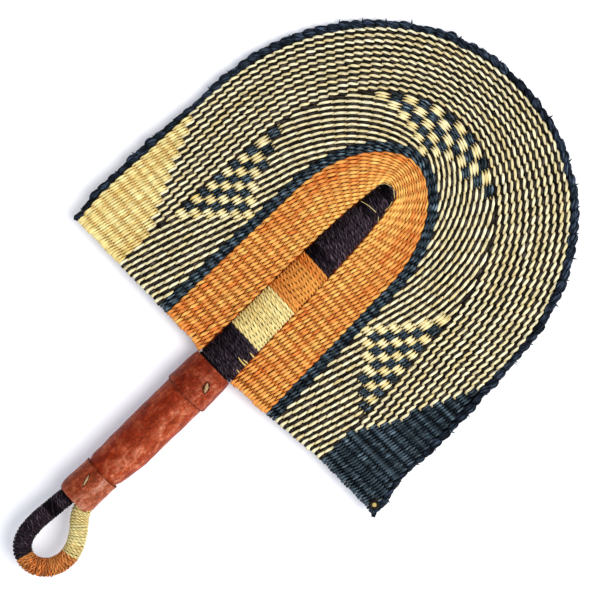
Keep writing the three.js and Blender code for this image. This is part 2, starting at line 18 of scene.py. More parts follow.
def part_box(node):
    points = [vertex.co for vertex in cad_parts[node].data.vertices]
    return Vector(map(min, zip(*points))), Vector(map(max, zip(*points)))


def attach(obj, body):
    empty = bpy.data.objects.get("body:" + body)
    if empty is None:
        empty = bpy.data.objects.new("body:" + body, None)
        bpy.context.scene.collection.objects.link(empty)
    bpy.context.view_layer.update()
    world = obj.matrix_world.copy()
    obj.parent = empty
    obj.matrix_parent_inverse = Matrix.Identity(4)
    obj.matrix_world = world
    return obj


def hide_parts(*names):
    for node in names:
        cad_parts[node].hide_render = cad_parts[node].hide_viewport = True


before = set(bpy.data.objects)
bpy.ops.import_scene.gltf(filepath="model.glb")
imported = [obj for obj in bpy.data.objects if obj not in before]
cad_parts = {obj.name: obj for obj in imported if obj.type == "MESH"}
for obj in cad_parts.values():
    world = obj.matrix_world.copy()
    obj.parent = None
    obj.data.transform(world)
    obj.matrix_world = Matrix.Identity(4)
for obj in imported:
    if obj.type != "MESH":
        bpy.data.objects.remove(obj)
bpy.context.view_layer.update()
LOG = logging.getLogger("fan")
MM = 0.001
UP = np.array([0.0, 0.0, 1.0])
DOWN = np.array([0.0, -1.0, 0.0])
FIRST_RIB_Y = -3.1
PANEL_RIBS_Y = 101.0
STALK_SHADES = (0.2, 0.85)
SHORTEST_STALK = 3
STITCH_NOISE = 0.09

Piece = bpy.types.Object
Material = bpy.types.Material
Socket = bpy.types.NodeSocket
Stops = tuple[tuple[float, float], ...]
Colour = tuple[float, float, float]


def linear(red: float, green: float, blue: float) -> np.ndarray:
    """Turn a screen colour of 0 to 255 into scene light.

    Args:
        red: Red share of the screen colour.
        green: Green share of the screen colour.
        blue: Blue share of the screen colour.

    Returns:
        The three shares as linear light, 0 to 1.
    """
    share = np.array([red, green, blue]) / 255
    return np.where(share <= 0.04045, share / 12.92, ((share + 0.055) / 1.055) ** 2.4)


def unit(vectors: np.ndarray) -> np.ndarray:
    """Return vectors scaled to length one."""
    return vectors / np.linalg.norm(vectors, axis=-1, keepdims=True)


def flat_to_space(points: np.ndarray) -> np.ndarray:
    """Return points of the blade's middle plane with a height of zero."""
    return np.column_stack([points, np.zeros(len(points))])


def walked_along(points: np.ndarray) -> np.ndarray:
    """Return the length walked along a line at each of its points."""
    return np.concatenate([[0], np.cumsum(np.linalg.norm(np.diff(points, axis=0), axis=1))])


def climb(values: np.ndarray, low: float, high: float) -> np.ndarray:
    """Return how far values have come from low to high, 0 to 1."""
    return np.clip((values - low) / (high - low), 0, 1)


def draws_of(name: str) -> np.random.Generator:
    """Return the source of draws that belongs to a piece's name."""
    return np.random.default_rng(sum(name.encode()))


def wander(knots: np.ndarray, count: int, spread: float, rng: np.random.Generator) -> np.ndarray:
    """Return a slow drift over a count of rings, drawn afresh at each knot."""
    return np.interp(np.arange(count), knots, rng.normal(0, spread, len(knots)))


class Tone(Enum):
    """Colours of the grass, each from its deepest to its lightest shade."""

    CREAM = ((220, 182, 96), (253, 244, 178))
    FAIR = ((226, 201, 122), (253, 248, 205))
    PALE = ((219, 199, 136), (248, 244, 210))
    DARK = ((16, 26, 34), (80, 96, 107))
    NAVY = ((2, 4, 8), (42, 52, 66))
    INK = ((10, 7, 7), (60, 54, 48))
    ORANGE = ((226, 131, 60), (255, 208, 113))
    AMBER = ((204, 102, 34), (248, 184, 92))
    RUST = ((168, 82, 36), (236, 160, 88))
    BLACK = ((6, 2, 6), (76, 63, 73))
    STRAW = ((58, 42, 22), (116, 88, 48))

    @property
    def code(self) -> int:
        """Return the tone's place in the palette."""
        return list(Tone).index(self)


@dataclass(frozen=True)
class Lie:
    """Way that a tone's strands lie between the ribs.

    Attributes:
        spread: Width over a rib, by the height of a row.
        waist: Width between two ribs, by the height of a row.
        crest: How roundly the strand climbs over a rib, lower for a flatter top.
        gap_shade: Painted shade where the strand dives between two ribs, 1 for no darker than over them.
        gap_warmth: How much that painted shade turns to brown, or to blue below zero.
    """

    spread: float
    waist: float
    crest: float
    gap_shade: float
    gap_warmth: float = 1.0


LIES = {
    Tone.CREAM: Lie(0.96, 0.44, 0.6, 0.82),
    Tone.FAIR: Lie(1.02, 0.34, 0.6, 0.72),
    Tone.PALE: Lie(1.0, 0.66, 0.4, 0.9),
    Tone.DARK: Lie(0.86, 0.3, 0.6, 0.16, -0.1),
    Tone.INK: Lie(1.14, 0.5, 0.5, 0.6, 0.8),
    Tone.ORANGE: Lie(0.93, 0.27, 0.6, 0.7),
    Tone.NAVY: Lie(0.88, 0.42, 0.6, 0.3, 0.0),
}
LIE_TABLE = np.array([astuple(LIES.get(tone, LIES[Tone.DARK])) for tone in Tone])
PALETTE = np.array([[linear(*shade) for shade in tone.value] for tone in Tone])
# How much faster the painted shade between the ribs deepens green and blue than red.
GAP_WARMTH = np.array([0.0, 0.5, 1.1])
# Colours of the thin sheet in the middle of the rows, by the tone round it: painted shade that shows in the
# holes between strands.
SHADE_SHEET = {
    Tone.CREAM: (168, 104, 44), Tone.FAIR: (168, 104, 44), Tone.PALE: (112, 82, 44),
    Tone.ORANGE: (122, 42, 4), Tone.DARK: (6, 11, 16), Tone.INK: (14, 10, 10),
}


@dataclass(frozen=True)
class FanFrame:
    """Lie of the fan's own frame in the world."""

    matrix: Matrix

    @classmethod
    def from_cad(cls, first_rib_y: float) -> "FanFrame":
        """Read the lie of the fan off its first and last straight rib.

        Args:
            first_rib_y: Height of the first rib in the fan's own frame.

        Returns:
            The frame that carries the fan's millimetres into the world.
        """
        low, high = (sum(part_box(rib), Vector()) / 2 for rib in ("side_rib_1", "side_rib_12"))
        run = high - low
        lie = Matrix.Rotation(math.atan2(run.z, run.y), 4, "X")
        origin = low - lie @ Vector((0, first_rib_y * MM, 0))
        return cls(Matrix.Translation(origin) @ lie @ Matrix.Scale(MM, 4))

    def place(self, piece: Piece) -> None:
        """Carry a piece made in millimetres into the world, in its mesh, pressed flat on the floor.

        Args:
            piece: Piece in the fan's millimetres.
        """
        piece.data.transform(self.matrix)
        spots = np.empty(3 * len(piece.data.vertices), np.float32)
        piece.data.vertices.foreach_get("co", spots)
        spots[2::3] = np.maximum(spots[2::3], 0)
        piece.data.vertices.foreach_set("co", spots)


class Shader:
    """Node tree of one material, with short calls to add and link nodes."""

    def __init__(self, name: str) -> None:
        """Start an empty material with its output and its surface shader."""
        self.material = bpy.data.materials.new(name)
        self.material.use_nodes = True
        self.tree = self.material.node_tree
        self.tree.nodes.clear()
        self.surface = self.add("ShaderNodeBsdfPrincipled")
        output = self.add("ShaderNodeOutputMaterial")
        self.tree.links.new(self.surface.outputs["BSDF"], output.inputs["Surface"])

    def add(self, kind: str, inputs: dict | None = None, **settings: object) -> bpy.types.Node:
        """Add a node.

        Args:
            kind: Blender's name of the node type.
            inputs: Values or sockets for the node's inputs, by name or number.
            settings: Properties of the node itself.

        Returns:
            The new node.
        """
        node = self.tree.nodes.new(kind)
        for name, value in settings.items():
            setattr(node, name, value)
        self.feed(node, inputs or {})
        return node

    def feed(self, node: bpy.types.Node, inputs: dict) -> None:
        """Set or link a node's inputs.

        Args:
            node: Node to feed.
            inputs: Values or sockets, by the name or number of the input.
        """
        for name, value in inputs.items():
            if isinstance(value, Socket):
                self.tree.links.new(value, node.inputs[name])
            else:
                node.inputs[name].default_value = value

    def ramp(self, value: Socket, stops: list[tuple[float, object]]) -> Socket:
        """Add a colour ramp.

        Args:
            value: Socket that drives the ramp.
            stops: Places along the ramp, each with a linear colour or one number for a grey.

        Returns:
            The ramp's colour socket.
        """
        node = self.add("ShaderNodeValToRGB", {"Fac": value})
        marks = node.color_ramp.elements
        while len(marks) < len(stops):
            marks.new(0.5)
        for mark, (place, colour) in zip(marks, stops):
            mark.position = place
            mark.color = (*np.broadcast_to(colour, 3), 1)
        return node.outputs["Color"]

    def blend(self, mode: str, share: object, under: object, over: object) -> Socket:
        """Mix two colours.

        Args:
            mode: Blender's name of the blend mode.
            share: How much of the upper colour is mixed in.
            under: Lower colour.
            over: Upper colour.

        Returns:
            The mixed colour's socket.
        """
        node = self.add("ShaderNodeMix", data_type="RGBA", blend_type=mode)
        self.feed(node, {0: share, 6: under, 7: over})
        return node.outputs[2]

    def noise(self, vector: object, scale: float, detail: float = 3, rough: float = 0.55) -> Socket:
        """Add a noise texture on a coordinate socket and return its value."""
        inputs = {"Vector": vector, "Scale": scale, "Detail": detail, "Roughness": rough}
        return self.add("ShaderNodeTexNoise", inputs).outputs["Fac"]

    def bump(self, height: object, depth: float, strength: float, normal: object = None) -> Socket:
        """Add a bump.

        Args:
            height: Socket of the height.
            depth: Depth in metres.
            strength: Share of the depth that shows.
            normal: Normal of a bump under this one.

        Returns:
            The bump's normal.
        """
        inputs = {"Height": height, "Distance": depth, "Strength": strength}
        if normal is not None:
            inputs["Normal"] = normal
        return self.add("ShaderNodeBump", inputs).outputs["Normal"]


@dataclass(frozen=True)
class GrassFinish:
    """Split grass: long fibres that follow the strand, on the tint that each strand carries."""

    name: str
    roughness: float = 0.62
    fibre_length: float = 5.0
    fibres_round: float = 5.0
    fibre_dark: float = 0.6
    bump_depth: float = 0.00018
    # How far the painted highlight lifts the brightest fibre streaks on dark strands.
    glint: float = 2.9
    gloss: float = 0.05

    def material(self) -> Material:
        """Make the finish.

        Returns:
            The finish as a material.
        """
        shader = Shader(self.name)
        tint = shader.add("ShaderNodeAttribute", attribute_name="tint").outputs["Color"]
        along = shader.add("ShaderNodeUVMap", uv_map="strand").outputs["UV"]
        stretch = (1 / self.fibre_length, self.fibres_round, 1)
        fibres = shader.add("ShaderNodeMapping", {"Vector": along, "Scale": stretch}).outputs["Vector"]
        streak = shader.noise(fibres, 1.0, 3, 0.6)
        light = shader.ramp(streak, [(0.36, self.fibre_dark), (0.58, 1.12)])
        # Painted highlight: on dark strands the brightest fibre streaks are lifted into glinting specks of
        # sheen.
        dark = shader.ramp(streak, [(0.4, 0.2), (0.52, 0.75), (0.62, self.glint)])
        bright = shader.ramp(tint, [(0.1, 0.0), (0.3, 1.0)])
        shade = shader.blend("MIX", bright, dark, light)
        patch = shader.noise(along, 0.11, 2, 0.5)
        worn = shader.ramp(patch, [(0.35, (0.86, 0.82, 0.78)), (0.6, 1.05)])
        colour = shader.blend("MULTIPLY", 1.0, tint, shade)
        colour = shader.blend("MULTIPLY", 0.7, colour, worn)
        normal = shader.bump(streak, self.bump_depth, 0.8)
        values = {"Base Color": colour, "Normal": normal, "Roughness": self.roughness}
        shader.feed(shader.surface, values | {"Specular IOR Level": self.gloss})
        return shader.material


@dataclass(frozen=True)
class LeatherFinish:
    """Dyed goat leather, mottled from maroon to brick, with creases, painted shade down its left side and a
    painted highlight strip right of the middle.
    """

    name: str
    deep: Colour = (90, 16, 5)
    middle: Colour = (142, 44, 18)
    worn: Colour = (204, 108, 74)
    roughness: float = 0.42
    half_width: float = 0.016
    mottle_scale: float = 190.0
    crease_scale: float = 420.0
    dust_scale: float = 900.0
    crinkle_scale: float = 340.0

    def material(self) -> Material:
        """Make the finish.

        Returns:
            The finish as a material.
        """
        shader = Shader(self.name)
        place = shader.add("ShaderNodeTexCoord").outputs["Object"]
        stretch = {"Vector": place, "Scale": (1, 0.6, 1)}
        long_way = shader.add("ShaderNodeMapping", stretch).outputs["Vector"]
        mottle = shader.noise(long_way, self.mottle_scale, 5, 0.66)
        stops = [(0.24, self.deep), (0.5, self.middle), (0.84, self.worn)]
        colour = shader.ramp(mottle, [(at, linear(*shade)) for at, shade in stops])
        cells = {"Vector": long_way, "Scale": self.crease_scale}
        voronoi = shader.add("ShaderNodeTexVoronoi", cells, feature="DISTANCE_TO_EDGE")
        crease = voronoi.outputs["Distance"]
        lines = shader.ramp(crease, [(0.0, 0.62), (0.12, 1.0)])
        colour = shader.blend("MULTIPLY", 0.5, colour, lines)
        specks = shader.noise(place, self.dust_scale, 2, 0.6)
        dust = shader.ramp(specks, [(0.35, 0.66), (0.62, 1.15)])
        colour = shader.blend("MULTIPLY", 0.4, colour, dust)
        # Painted light and shade across the grip: darker left of the middle, and a lighter, paler strip
        # right of the middle where a highlight falls.
        across = shader.add("ShaderNodeSeparateXYZ", {"Vector": place}).outputs["X"]
        ends = {"Value": across, "From Min": -self.half_width, "From Max": self.half_width}
        painted_light_across = shader.add("ShaderNodeMapRange", ends).outputs["Result"]
        fade = shader.ramp(painted_light_across, [
            (0.04, (0.94, 0.98, 0.8)), (0.25, (0.78, 0.66, 0.52)), (0.42, (0.92, 0.96, 0.96)),
            (0.66, (1.34, 2.2, 2.9)), (0.8, (1.46, 2.2, 2.5)), (0.97, (1.5, 1.9, 1.9)),
        ])
        colour = shader.blend("MULTIPLY", 1.0, colour, fade)
        folds = {"Scale": self.crinkle_scale, "Detail": 4, "Roughness": 0.68, "Distortion": 1.4}
        crinkle = shader.add("ShaderNodeTexNoise", {"Vector": place} | folds).outputs["Fac"]
        # Painted light and shade on the fine crinkles: their hollows darker, their crests lighter and
        # paler.
        ridges = shader.ramp(crinkle, [(0.42, 0.7), (0.52, 0.95), (0.64, (1.5, 1.62, 1.7))])
        colour = shader.blend("MULTIPLY", 0.7, colour, ridges)
        wrinkle = shader.bump(crinkle, 0.0012, 0.7)
        normal = shader.bump(crease, 0.0003, 0.4, wrinkle)
        values = {"Base Color": colour, "Normal": normal, "Roughness": self.roughness}
        sheen = {"Specular IOR Level": 0.1, "Specular Tint": (1.0, 0.7, 0.55, 1)}
        shader.feed(shader.surface, values | sheen)
        return shader.material


@dataclass(frozen=True)
class PlainFinish:
    """A surface of one colour with a fine grain."""

    name: str
    colour: Colour
    roughness: float
    grain: float = 600.0
    grain_depth: float = 0.12
    glow: Colour = (0, 0, 0)

    def material(self) -> Material:
        """Make the finish.

        Returns:
            The finish as a material.
        """
        shader = Shader(self.name)
        place = shader.add("ShaderNodeTexCoord").outputs["Object"]
        tone = linear(*self.colour)
        stops = [(0.35, tone * (1 - self.grain_depth)), (0.65, tone)]
        colour = shader.ramp(shader.noise(place, self.grain), stops)
        values = {"Base Color": colour, "Roughness": self.roughness}
        glow = {"Emission Color": (*linear(*self.glow), 1), "Emission Strength": 1.0}
        shader.feed(shader.surface, values | glow)
        return shader.material


def sweep(
    path: np.ndarray, outward: np.ndarray, width: object, thickness: object, sides: int,
    closed: bool = False,
) -> np.ndarray:
    """Lay an oval section along a path.

    Args:
        path: Points that the strand follows.
        outward: Direction that the strand's flat face looks to, one or one for each point.
        width: Width of the section, one value or one for each point.
        thickness: Thickness of the section, one value or one for each point.
        sides: Corners of the section.
        closed: Whether the path ends where it starts.

    Returns:
        The corners of each ring, as rings by sides by three.
    """
    along = np.roll(path, -1, 0) - np.roll(path, 1, 0) if closed else np.gradient(path, axis=0)
    along = unit(along)
    out = unit(outward - np.sum(outward * along, 1, keepdims=True) * along)
    across = np.cross(along, out)
    turn = np.arange(sides) * 2 * math.pi / sides
    half_width = np.broadcast_to(np.asarray(width) / 2, len(path))
    half_depth = np.broadcast_to(np.asarray(thickness) / 2, len(path))
    wide = np.einsum("n,k,nc->nkc", half_width, np.cos(turn), across)
    deep = np.einsum("n,k,nc->nkc", half_depth, np.sin(turn), out)
    return path[:, None] + wide + deep


class StrandMesh:
    """Many strands gathered into one piece, each ring with its own tint."""

    def __init__(self) -> None:
        """Start with no strands."""
        self.corners: list[np.ndarray] = []
        self.faces: list[list[int]] = []
        self.places: list[np.ndarray] = []
        self.tints: list[np.ndarray] = []
        self.count = 0

    def add(self, rings: np.ndarray, tints: np.ndarray, closed: bool = False) -> None:
        """Add one strand.

        Args:
            rings: Corners of each ring.
            tints: Linear colour of each ring, or one for the strand.
            closed: Whether the last ring joins the first.
        """
        length, sides = rings.shape[:2]
        tints = np.broadcast_to(tints, (length, 3))
        steps = np.linalg.norm(np.diff(rings.mean(1), axis=0, append=rings[:1].mean(1)), axis=1)
        run = np.concatenate([[0], np.cumsum(steps)])
        joins = length if closed else length - 1
        ring, side = np.divmod(np.arange(joins * sides), sides)
        after, beside = (ring + 1) % length, (side + 1) % sides
        quad = [(ring, side), (after, side), (after, beside), (ring, beside)]
        self.faces += (self.count + np.stack([r * sides + c for r, c in quad], 1)).tolist()
        ends = [run[ring], run[ring + 1], run[ring + 1], run[ring]]
        turns = [side, side, side + 1, side + 1]
        self.places.append(np.stack([np.stack(ends, 1), np.stack(turns, 1) / sides], 2).reshape(-1, 2))
        if not closed:
            last = self.count + (length - 1) * sides
            self.faces.append(list(range(self.count, self.count + sides)))
            self.faces.append(list(range(last + sides - 1, last - 1, -1)))
            self.places.append(np.zeros((2 * sides, 2)))
        self.corners.append(rings.reshape(-1, 3))
        self.tints.append(np.repeat(tints, sides, axis=0))
        self.count += length * sides

    def build(self, name: str, material: Material) -> Piece:
        """Make the piece.

        Args:
            name: Name of the piece.
            material: Finish of the piece.

        Returns:
            The new object, in the fan's millimetres.
        """
        mesh = bpy.data.meshes.new(name)
        mesh.from_pydata(np.concatenate(self.corners).tolist(), [], self.faces)
        mesh.polygons.foreach_set("use_smooth", np.ones(len(mesh.polygons), bool))
        uv = mesh.uv_layers.new(name="strand")
        uv.data.foreach_set("uv", np.concatenate(self.places).ravel().astype(np.float32))
        tint = mesh.color_attributes.new("tint", "FLOAT_COLOR", "POINT")
        tints = np.concatenate(self.tints)
        tint.data.foreach_set("color", np.column_stack([tints, np.ones(len(tints))]).ravel())
        mesh.materials.append(material)
        piece = bpy.data.objects.new(name, mesh)
        bpy.context.scene.collection.objects.link(piece)
        return piece


class Strand(NamedTuple):
    """Run of rings along one strand."""

    path: np.ndarray
    out: np.ndarray
    tint: np.ndarray
    width: np.ndarray
    thick: np.ndarray

    def backwards(self) -> "Strand":
        """Return the strand walked from its other end."""
        return Strand(*(part[::-1] for part in self))


def smooth_line(stops: np.ndarray, samples: int = 60) -> np.ndarray:
    """Draw a smooth curve through stops.

    Args:
        stops: Points that the curve passes.
        samples: Points for each stretch between two stops.

    Returns:
        Points along the curve.
    """
    stops = np.array(stops, float)
    stops = np.vstack([2 * stops[0] - stops[1], stops, 2 * stops[-1] - stops[-2]])
    points = []
    for i in range(1, len(stops) - 2):
        near = stops[i - 1:i + 3]
        time = np.concatenate([[0], np.cumsum(np.sqrt(np.linalg.norm(np.diff(near, axis=0), axis=1)))])
        at = np.linspace(time[1], time[2], samples, endpoint=False)[:, None]
        level = list(near)
        for reach in (1, 2):
            level = [
                (low * (time[j + reach] - at) + high * (at - time[j])) / (time[j + reach] - time[j])
                for j, (low, high) in enumerate(zip(level, level[1:]))
            ]
        left, right = level
        points.append((left * (time[2] - at) + right * (at - time[1])) / (time[2] - time[1]))
    return np.vstack([*points, stops[-2:-1]])


def shade_runs(count: int, rng: np.random.Generator, longest: int = 16) -> np.ndarray:
    """Shade a strand in runs, as it is pieced together from single stalks.

    Args:
        count: Stitches along the strand.
        rng: Source of the draws.
        longest: Most stitches that one stalk makes.

    Returns:
        A shade from 0, deepest, to 1, lightest, for each stitch.
    """
    stalks = rng.uniform(*STALK_SHADES, count)
    runs = np.repeat(stalks, rng.integers(SHORTEST_STALK, longest, count))[:count]
    return np.clip(runs + rng.normal(0, STITCH_NOISE, count), 0, 1)


def tint_of(tones: np.ndarray, shades: np.ndarray) -> np.ndarray:
    """Return the linear colour of tones at their shades."""
    deep, light = PALETTE[tones, 0], PALETTE[tones, 1]
    return deep + (light - deep) * shades[..., None]


def plain_tint(tone: Tone, shade: float) -> np.ndarray:
    """Return the linear colour of one tone at one shade."""
    return tint_of(np.array([tone.code]), np.array([shade]))


@dataclass(frozen=True)
class Cord:
    """Grass cord of two plies twisted together."""

    girth: float = 2.35
    lay: float = 9.6
    offset_share: float = 0.27
    width_share: float = 0.64
    depth_share: float = 0.56
    slack: float = 0.3
    depth: float = 0.6
    # How much darker a ply is painted where it passes under the other: painted shade.
    dip: float = 0.0
    brightness: float = 0.92
    ply_noise: float = 0.06
    sides: int = 6

    def wind(
        self, path: np.ndarray, outward: np.ndarray, room: np.ndarray, tone: Tone, shades: np.ndarray,
        rng: np.random.Generator,
    ) -> StrandMesh:
        """Lay the cord along a wound path.

        Args:
            path: Points that the middle of the cord follows.
            outward: Direction away from what the cord is wound on, at each point.
            room: Room between the turns, at each point.
            tone: Colour of the grass.
            shades: Shade at each point.
            rng: Source of the draws.

        Returns:
            The cord's two plies.
        """
        along = unit(np.gradient(path, axis=0))
        out = unit(outward - np.sum(outward * along, 1, keepdims=True) * along)
        side = np.cross(along, out)
        run = walked_along(path) / self.lay
        slack = np.cumsum(rng.normal(0, self.slack, int(run[-1]) + 2))
        twist = 2 * math.pi * run + np.interp(run, np.arange(len(slack)), slack)
        mesh = StrandMesh()
        for ply in (0, 1):
            cos, sin = np.cos(twist + math.pi * ply)[:, None], np.sin(twist + math.pi * ply)[:, None]
            middle = path + self.offset_share * (out * cos * self.girth + side * sin * room[:, None])
            rings = sweep(middle, out * cos + side * sin, self.width_share * room,
                          self.depth_share * self.girth, self.sides)
            shade = np.clip(self.depth * shades + rng.normal(0, self.ply_noise), 0, 1)
            # Painted shade: a ply is darker where it passes under the other, by dip.
            sunk = self.brightness - self.dip * (0.5 - 0.5 * cos)
            mesh.add(rings, sunk * tint_of(np.full(len(path), tone.code), shade))
        return mesh


@dataclass(frozen=True)
class Outline:
    """Edge line of a zone of the blade: straight sides, then an arch over the tip.

    The line is walked by t: 0 to 1 up the right side, 1 to 3 over the arch, 3 to 4 down the left side.
    """

    base_half: float
    tip_y: float
    lean: float
    lean_from: float
    first_y: float
    quarter: np.ndarray
    shift: float = 0.0
    slip: Stops = ((0, 0.0),)
    bulge: Stops = ((0, 0.0),)

    def at(self, t: np.ndarray) -> np.ndarray:
        """Find points of the line, each slipped back as the ribs stand askew.

        Args:
            t: Places along the line.

        Returns:
            The points.
        """
        bulge = np.interp(t, *np.array(self.bulge).T)
        t = t - np.interp(t, *np.array(self.slip).T)
        side = np.where(t <= 2, 1.0, -1.0)
        height = np.where(t <= 2, t, 4 - t)
        walked = walked_along(self.quarter)
        run = np.clip(height - 1, 0, 1) * walked[-1]
        x, y = (
            np.where(height <= 1, foot + height * (arch[0] - foot), np.interp(run, walked, arch))
            for foot, arch in zip((self.base_half, self.first_y), self.quarter.T)
        )
        lean = self.lean * np.maximum(y - self.lean_from, 0) / (self.tip_y - self.lean_from)
        return np.stack([side * x + lean + self.shift + bulge, y], 1)


class Pattern:
    """Colours of a zone's stitches, on the face and on the back of the blade."""

    def tones(self, zone: "Zone", row: int, rib: np.ndarray) -> tuple[np.ndarray, np.ndarray]:
        """Return the tones at each rib of a row, on the face and on the back."""
        raise NotImplementedError


@dataclass(frozen=True)
class SolidRows(Pattern):
    """Rows of one colour."""

    tone: Tone

    def tones(self, zone: "Zone", row: int, rib: np.ndarray) -> tuple[np.ndarray, np.ndarray]:
        """Return the same tone on both faces."""
        plain = np.full(rib.shape, self.tone.code)
        return plain, plain


@dataclass(frozen=True)
class SpiralAndChecks(Pattern):
    """Lines that climb one row for each rib, broken by three triangles of checks."""

    check_rows: int = 3
    led_columns: int = 3
    right_check: int = 13
    left_check: int = 12
    top_check: int = 18

    def tones(self, zone: "Zone", row: int, rib: np.ndarray) -> tuple[np.ndarray, np.ndarray]:
        """Find the tones of a row: lines and checks on the face, their opposites on the back.

        Args:
            zone: Zone of the row.
            row: Number of the row from the zone's inner edge.
            rib: Numbers of the ribs.

        Returns:
            The tones at each rib, on the face and on the back.
        """
        cream = (rib + row) % 2 == 0
        checked = np.zeros(rib.shape, bool)
        checks = zone.rows // self.check_rows
        column = checks - row // self.check_rows
        for centre in (self.right_check, zone.side_ribs + self.top_check, zone.last_rib - self.left_check):
            off = rib - centre
            lead = 1 if column <= self.led_columns else 0
            inside = (off >= column - checks - lead) & (off <= checks - column)
            check = ((off + column) % 2 == 0) & (np.abs(off) <= checks - column)
            cream = np.where(inside, check, cream)
            checked |= inside
        dark = np.where(checked, Tone.DARK.code, Tone.INK.code)
        pale = np.where(checked, Tone.FAIR.code, Tone.PALE.code)
        return np.where(cream, pale, dark), np.where(cream, dark, pale)


@dataclass(frozen=True)
class StripesAndWedges(Pattern):
    """Rows of cream and dark by turns, with a cream wedge at the left base and a dark one at the right."""

    first_row: int
    all_rows: int = 22
    cream_wedge_start: int = 13
    dark_wedge_start: float = 15.9
    dark_wedge_step: float = 1.18

    def tones(self, zone: "Zone", row: int, rib: np.ndarray) -> tuple[np.ndarray, np.ndarray]:
        """Find the tones of a row, the same on both faces.

        Args:
            zone: Zone of the row.
            row: Number of the row from the zone's inner edge.
            rib: Numbers of the ribs.

        Returns:
            The tones at each rib, on the face and on the back.
        """
        from_rim = self.all_rows - 1 - (self.first_row + row)
        pair = from_rim // 2
        dark_wedge = rib <= self.dark_wedge_start - self.dark_wedge_step * pair
        cream_wedge = zone.last_rib - rib <= self.cream_wedge_start - pair
        cream = cream_wedge if from_rim % 2 else ~dark_wedge
        dark = np.where(dark_wedge, Tone.DARK.code, Tone.INK.code)
        face = np.where(cream, np.where(cream_wedge, Tone.CREAM.code, Tone.PALE.code), dark)
        return face, face


@dataclass(frozen=True)
class BaseSag:
    """Way the base edge hangs: low on the left, high on the right, with a flared right corner."""

    left_drop: float = 3.0
    spine_drop: float = 1.5
    spine_reach: float = 26.0
    spine_fade: float = 10.0
    right_rise: float = 3.2
    rise_from_x: float = 36.0
    rise_to_x: float = 92.0
    fade: float = 62.0
    right_flare: float = 3.6
    left_tuck: float = 2.8
    corner_from_x: float = 96.0
    corner_to_x: float = 138.0
    corner_fade: float = 26.0

    def shift(self, points: np.ndarray) -> np.ndarray:
        """Move points of the blade as the base edge hangs.

        Args:
            points: Points of the blade.

        Returns:
            The moved points.
        """
        x, y = points.T
        off = np.abs(x)
        rise = climb(x, self.rise_from_x, self.rise_to_x)
        beside_spine = climb(off, self.spine_reach, self.spine_reach - self.spine_fade)
        drop = (self.right_rise + self.left_drop) * rise - self.left_drop - self.spine_drop * beside_spine
        low = climb(y, self.fade, 0) ** 2
        corner = climb(off, self.corner_from_x, self.corner_to_x) ** 2
        end = climb(y, self.corner_fade, 0) ** 2
        flare = np.where(x > 0, self.right_flare, self.left_tuck) * corner * end
        return np.stack([x + flare, y + drop * low], 1)


@dataclass(frozen=True)
class Zone:
    """Band of rows between two outlines, on its own count of ribs.

    Attributes:
        start: Share of the way between the outlines where the band starts.
        stop: Share where it ends.
        flatness: How far the strands stand out from the ribs, 1 for touching them.
        depth_share: Thickness of a strand, by the height of a row.
        swing: How far the strands slant between the ribs, by the height of a row.
        grain: How sharply the stitches draw in between the ribs.
        deep_base: How much deeper the shades are at the base.
        arch_ease: How much plainer the stitches lie over the arch, with less painted shade between the
            ribs.
        arch_deepening: How much deeper the outer rows are over the arch.
        side_swell: How far the rows bow out at the sides, in a field that several bands share.
    """

    name: str
    inner: Outline
    outer: Outline
    rows: int
    arch_ribs: int
    pattern: Pattern
    start: float = 0.0
    stop: float = 1.0
    side_ribs: int = 16
    rib_radius: float = 0.55
    flatness: float = 1.0
    depth_share: float = 0.62
    swing: float = 0.3
    grain: float = 0.8
    unevenness: float = 0.05
    plumpness: float = 0.06
    deep_base: float = 0.0
    longest_run: int = 16
    shade_range: float = 0.65
    arch_ease: float = 0.0
    arch_deepening: float = 0.0
    # How far the painted-shade sheet reaches past the inner and the outer row.
    shade_sheet_in: float = 0.0
    shade_sheet_out: float = 0.0
    side_swell: float = 0.0
    arch_reach: float = 1.15
    deepens_from: float = 0.35
    pales_from: float = 0.75
    eased_waist: float = 0.8
    waist_depth: float = 0.8
    rib_tuck: float = 0.12
    sag: BaseSag = BaseSag()

    @property
    def last_rib(self) -> int:
        """Number of the rib at the left base corner."""
        return 2 * self.side_ribs + self.arch_ribs

    def walk(self, rib: np.ndarray) -> np.ndarray:
        """Return the outlines' t at places counted in ribs."""
        stops = [0, self.side_ribs, self.side_ribs + self.arch_ribs, self.last_rib]
        return np.interp(rib, stops, [0, 1, 3, 4])

    def arch(self, rib: np.ndarray) -> np.ndarray:
        """Return how near places lie to the top of the arch, 1 there and 0 down the sides."""
        return np.exp(-((self.walk(rib) - 2) / self.arch_reach) ** 4)

    def line(self, share: float, rib: np.ndarray) -> tuple[np.ndarray, np.ndarray, np.ndarray]:
        """Walk along the zone.

        Args:
            share: Place between the zone's inner and outer edge.
            rib: Places along the zone, counted in ribs.

        Returns:
            The points, the outward directions and the height of one row there.
        """
        t = self.walk(rib)
        near, far = self.inner.at(t), self.outer.at(t)
        depth = (far - near) * (self.stop - self.start)
        reach = self.start + (self.stop - self.start) * share
        bow = np.cos(math.pi * t / 2)
        bow = np.where(bow > 0, bow, bow / 2)[:, None]
        reach = reach + self.side_swell * bow * 4 * reach * (1 - reach)
        points = self.sag.shift(near + (far - near) * reach)
        return points, unit(depth), np.linalg.norm(depth, axis=1) / self.rows


class LooseEnd(NamedTuple):
    """Fibre end that stands out from the rim: where it starts, how far it runs and how it looks."""

    start: tuple[float, float]
    run: tuple[float, float]
    girth: float
    tone: Tone
    shade: float


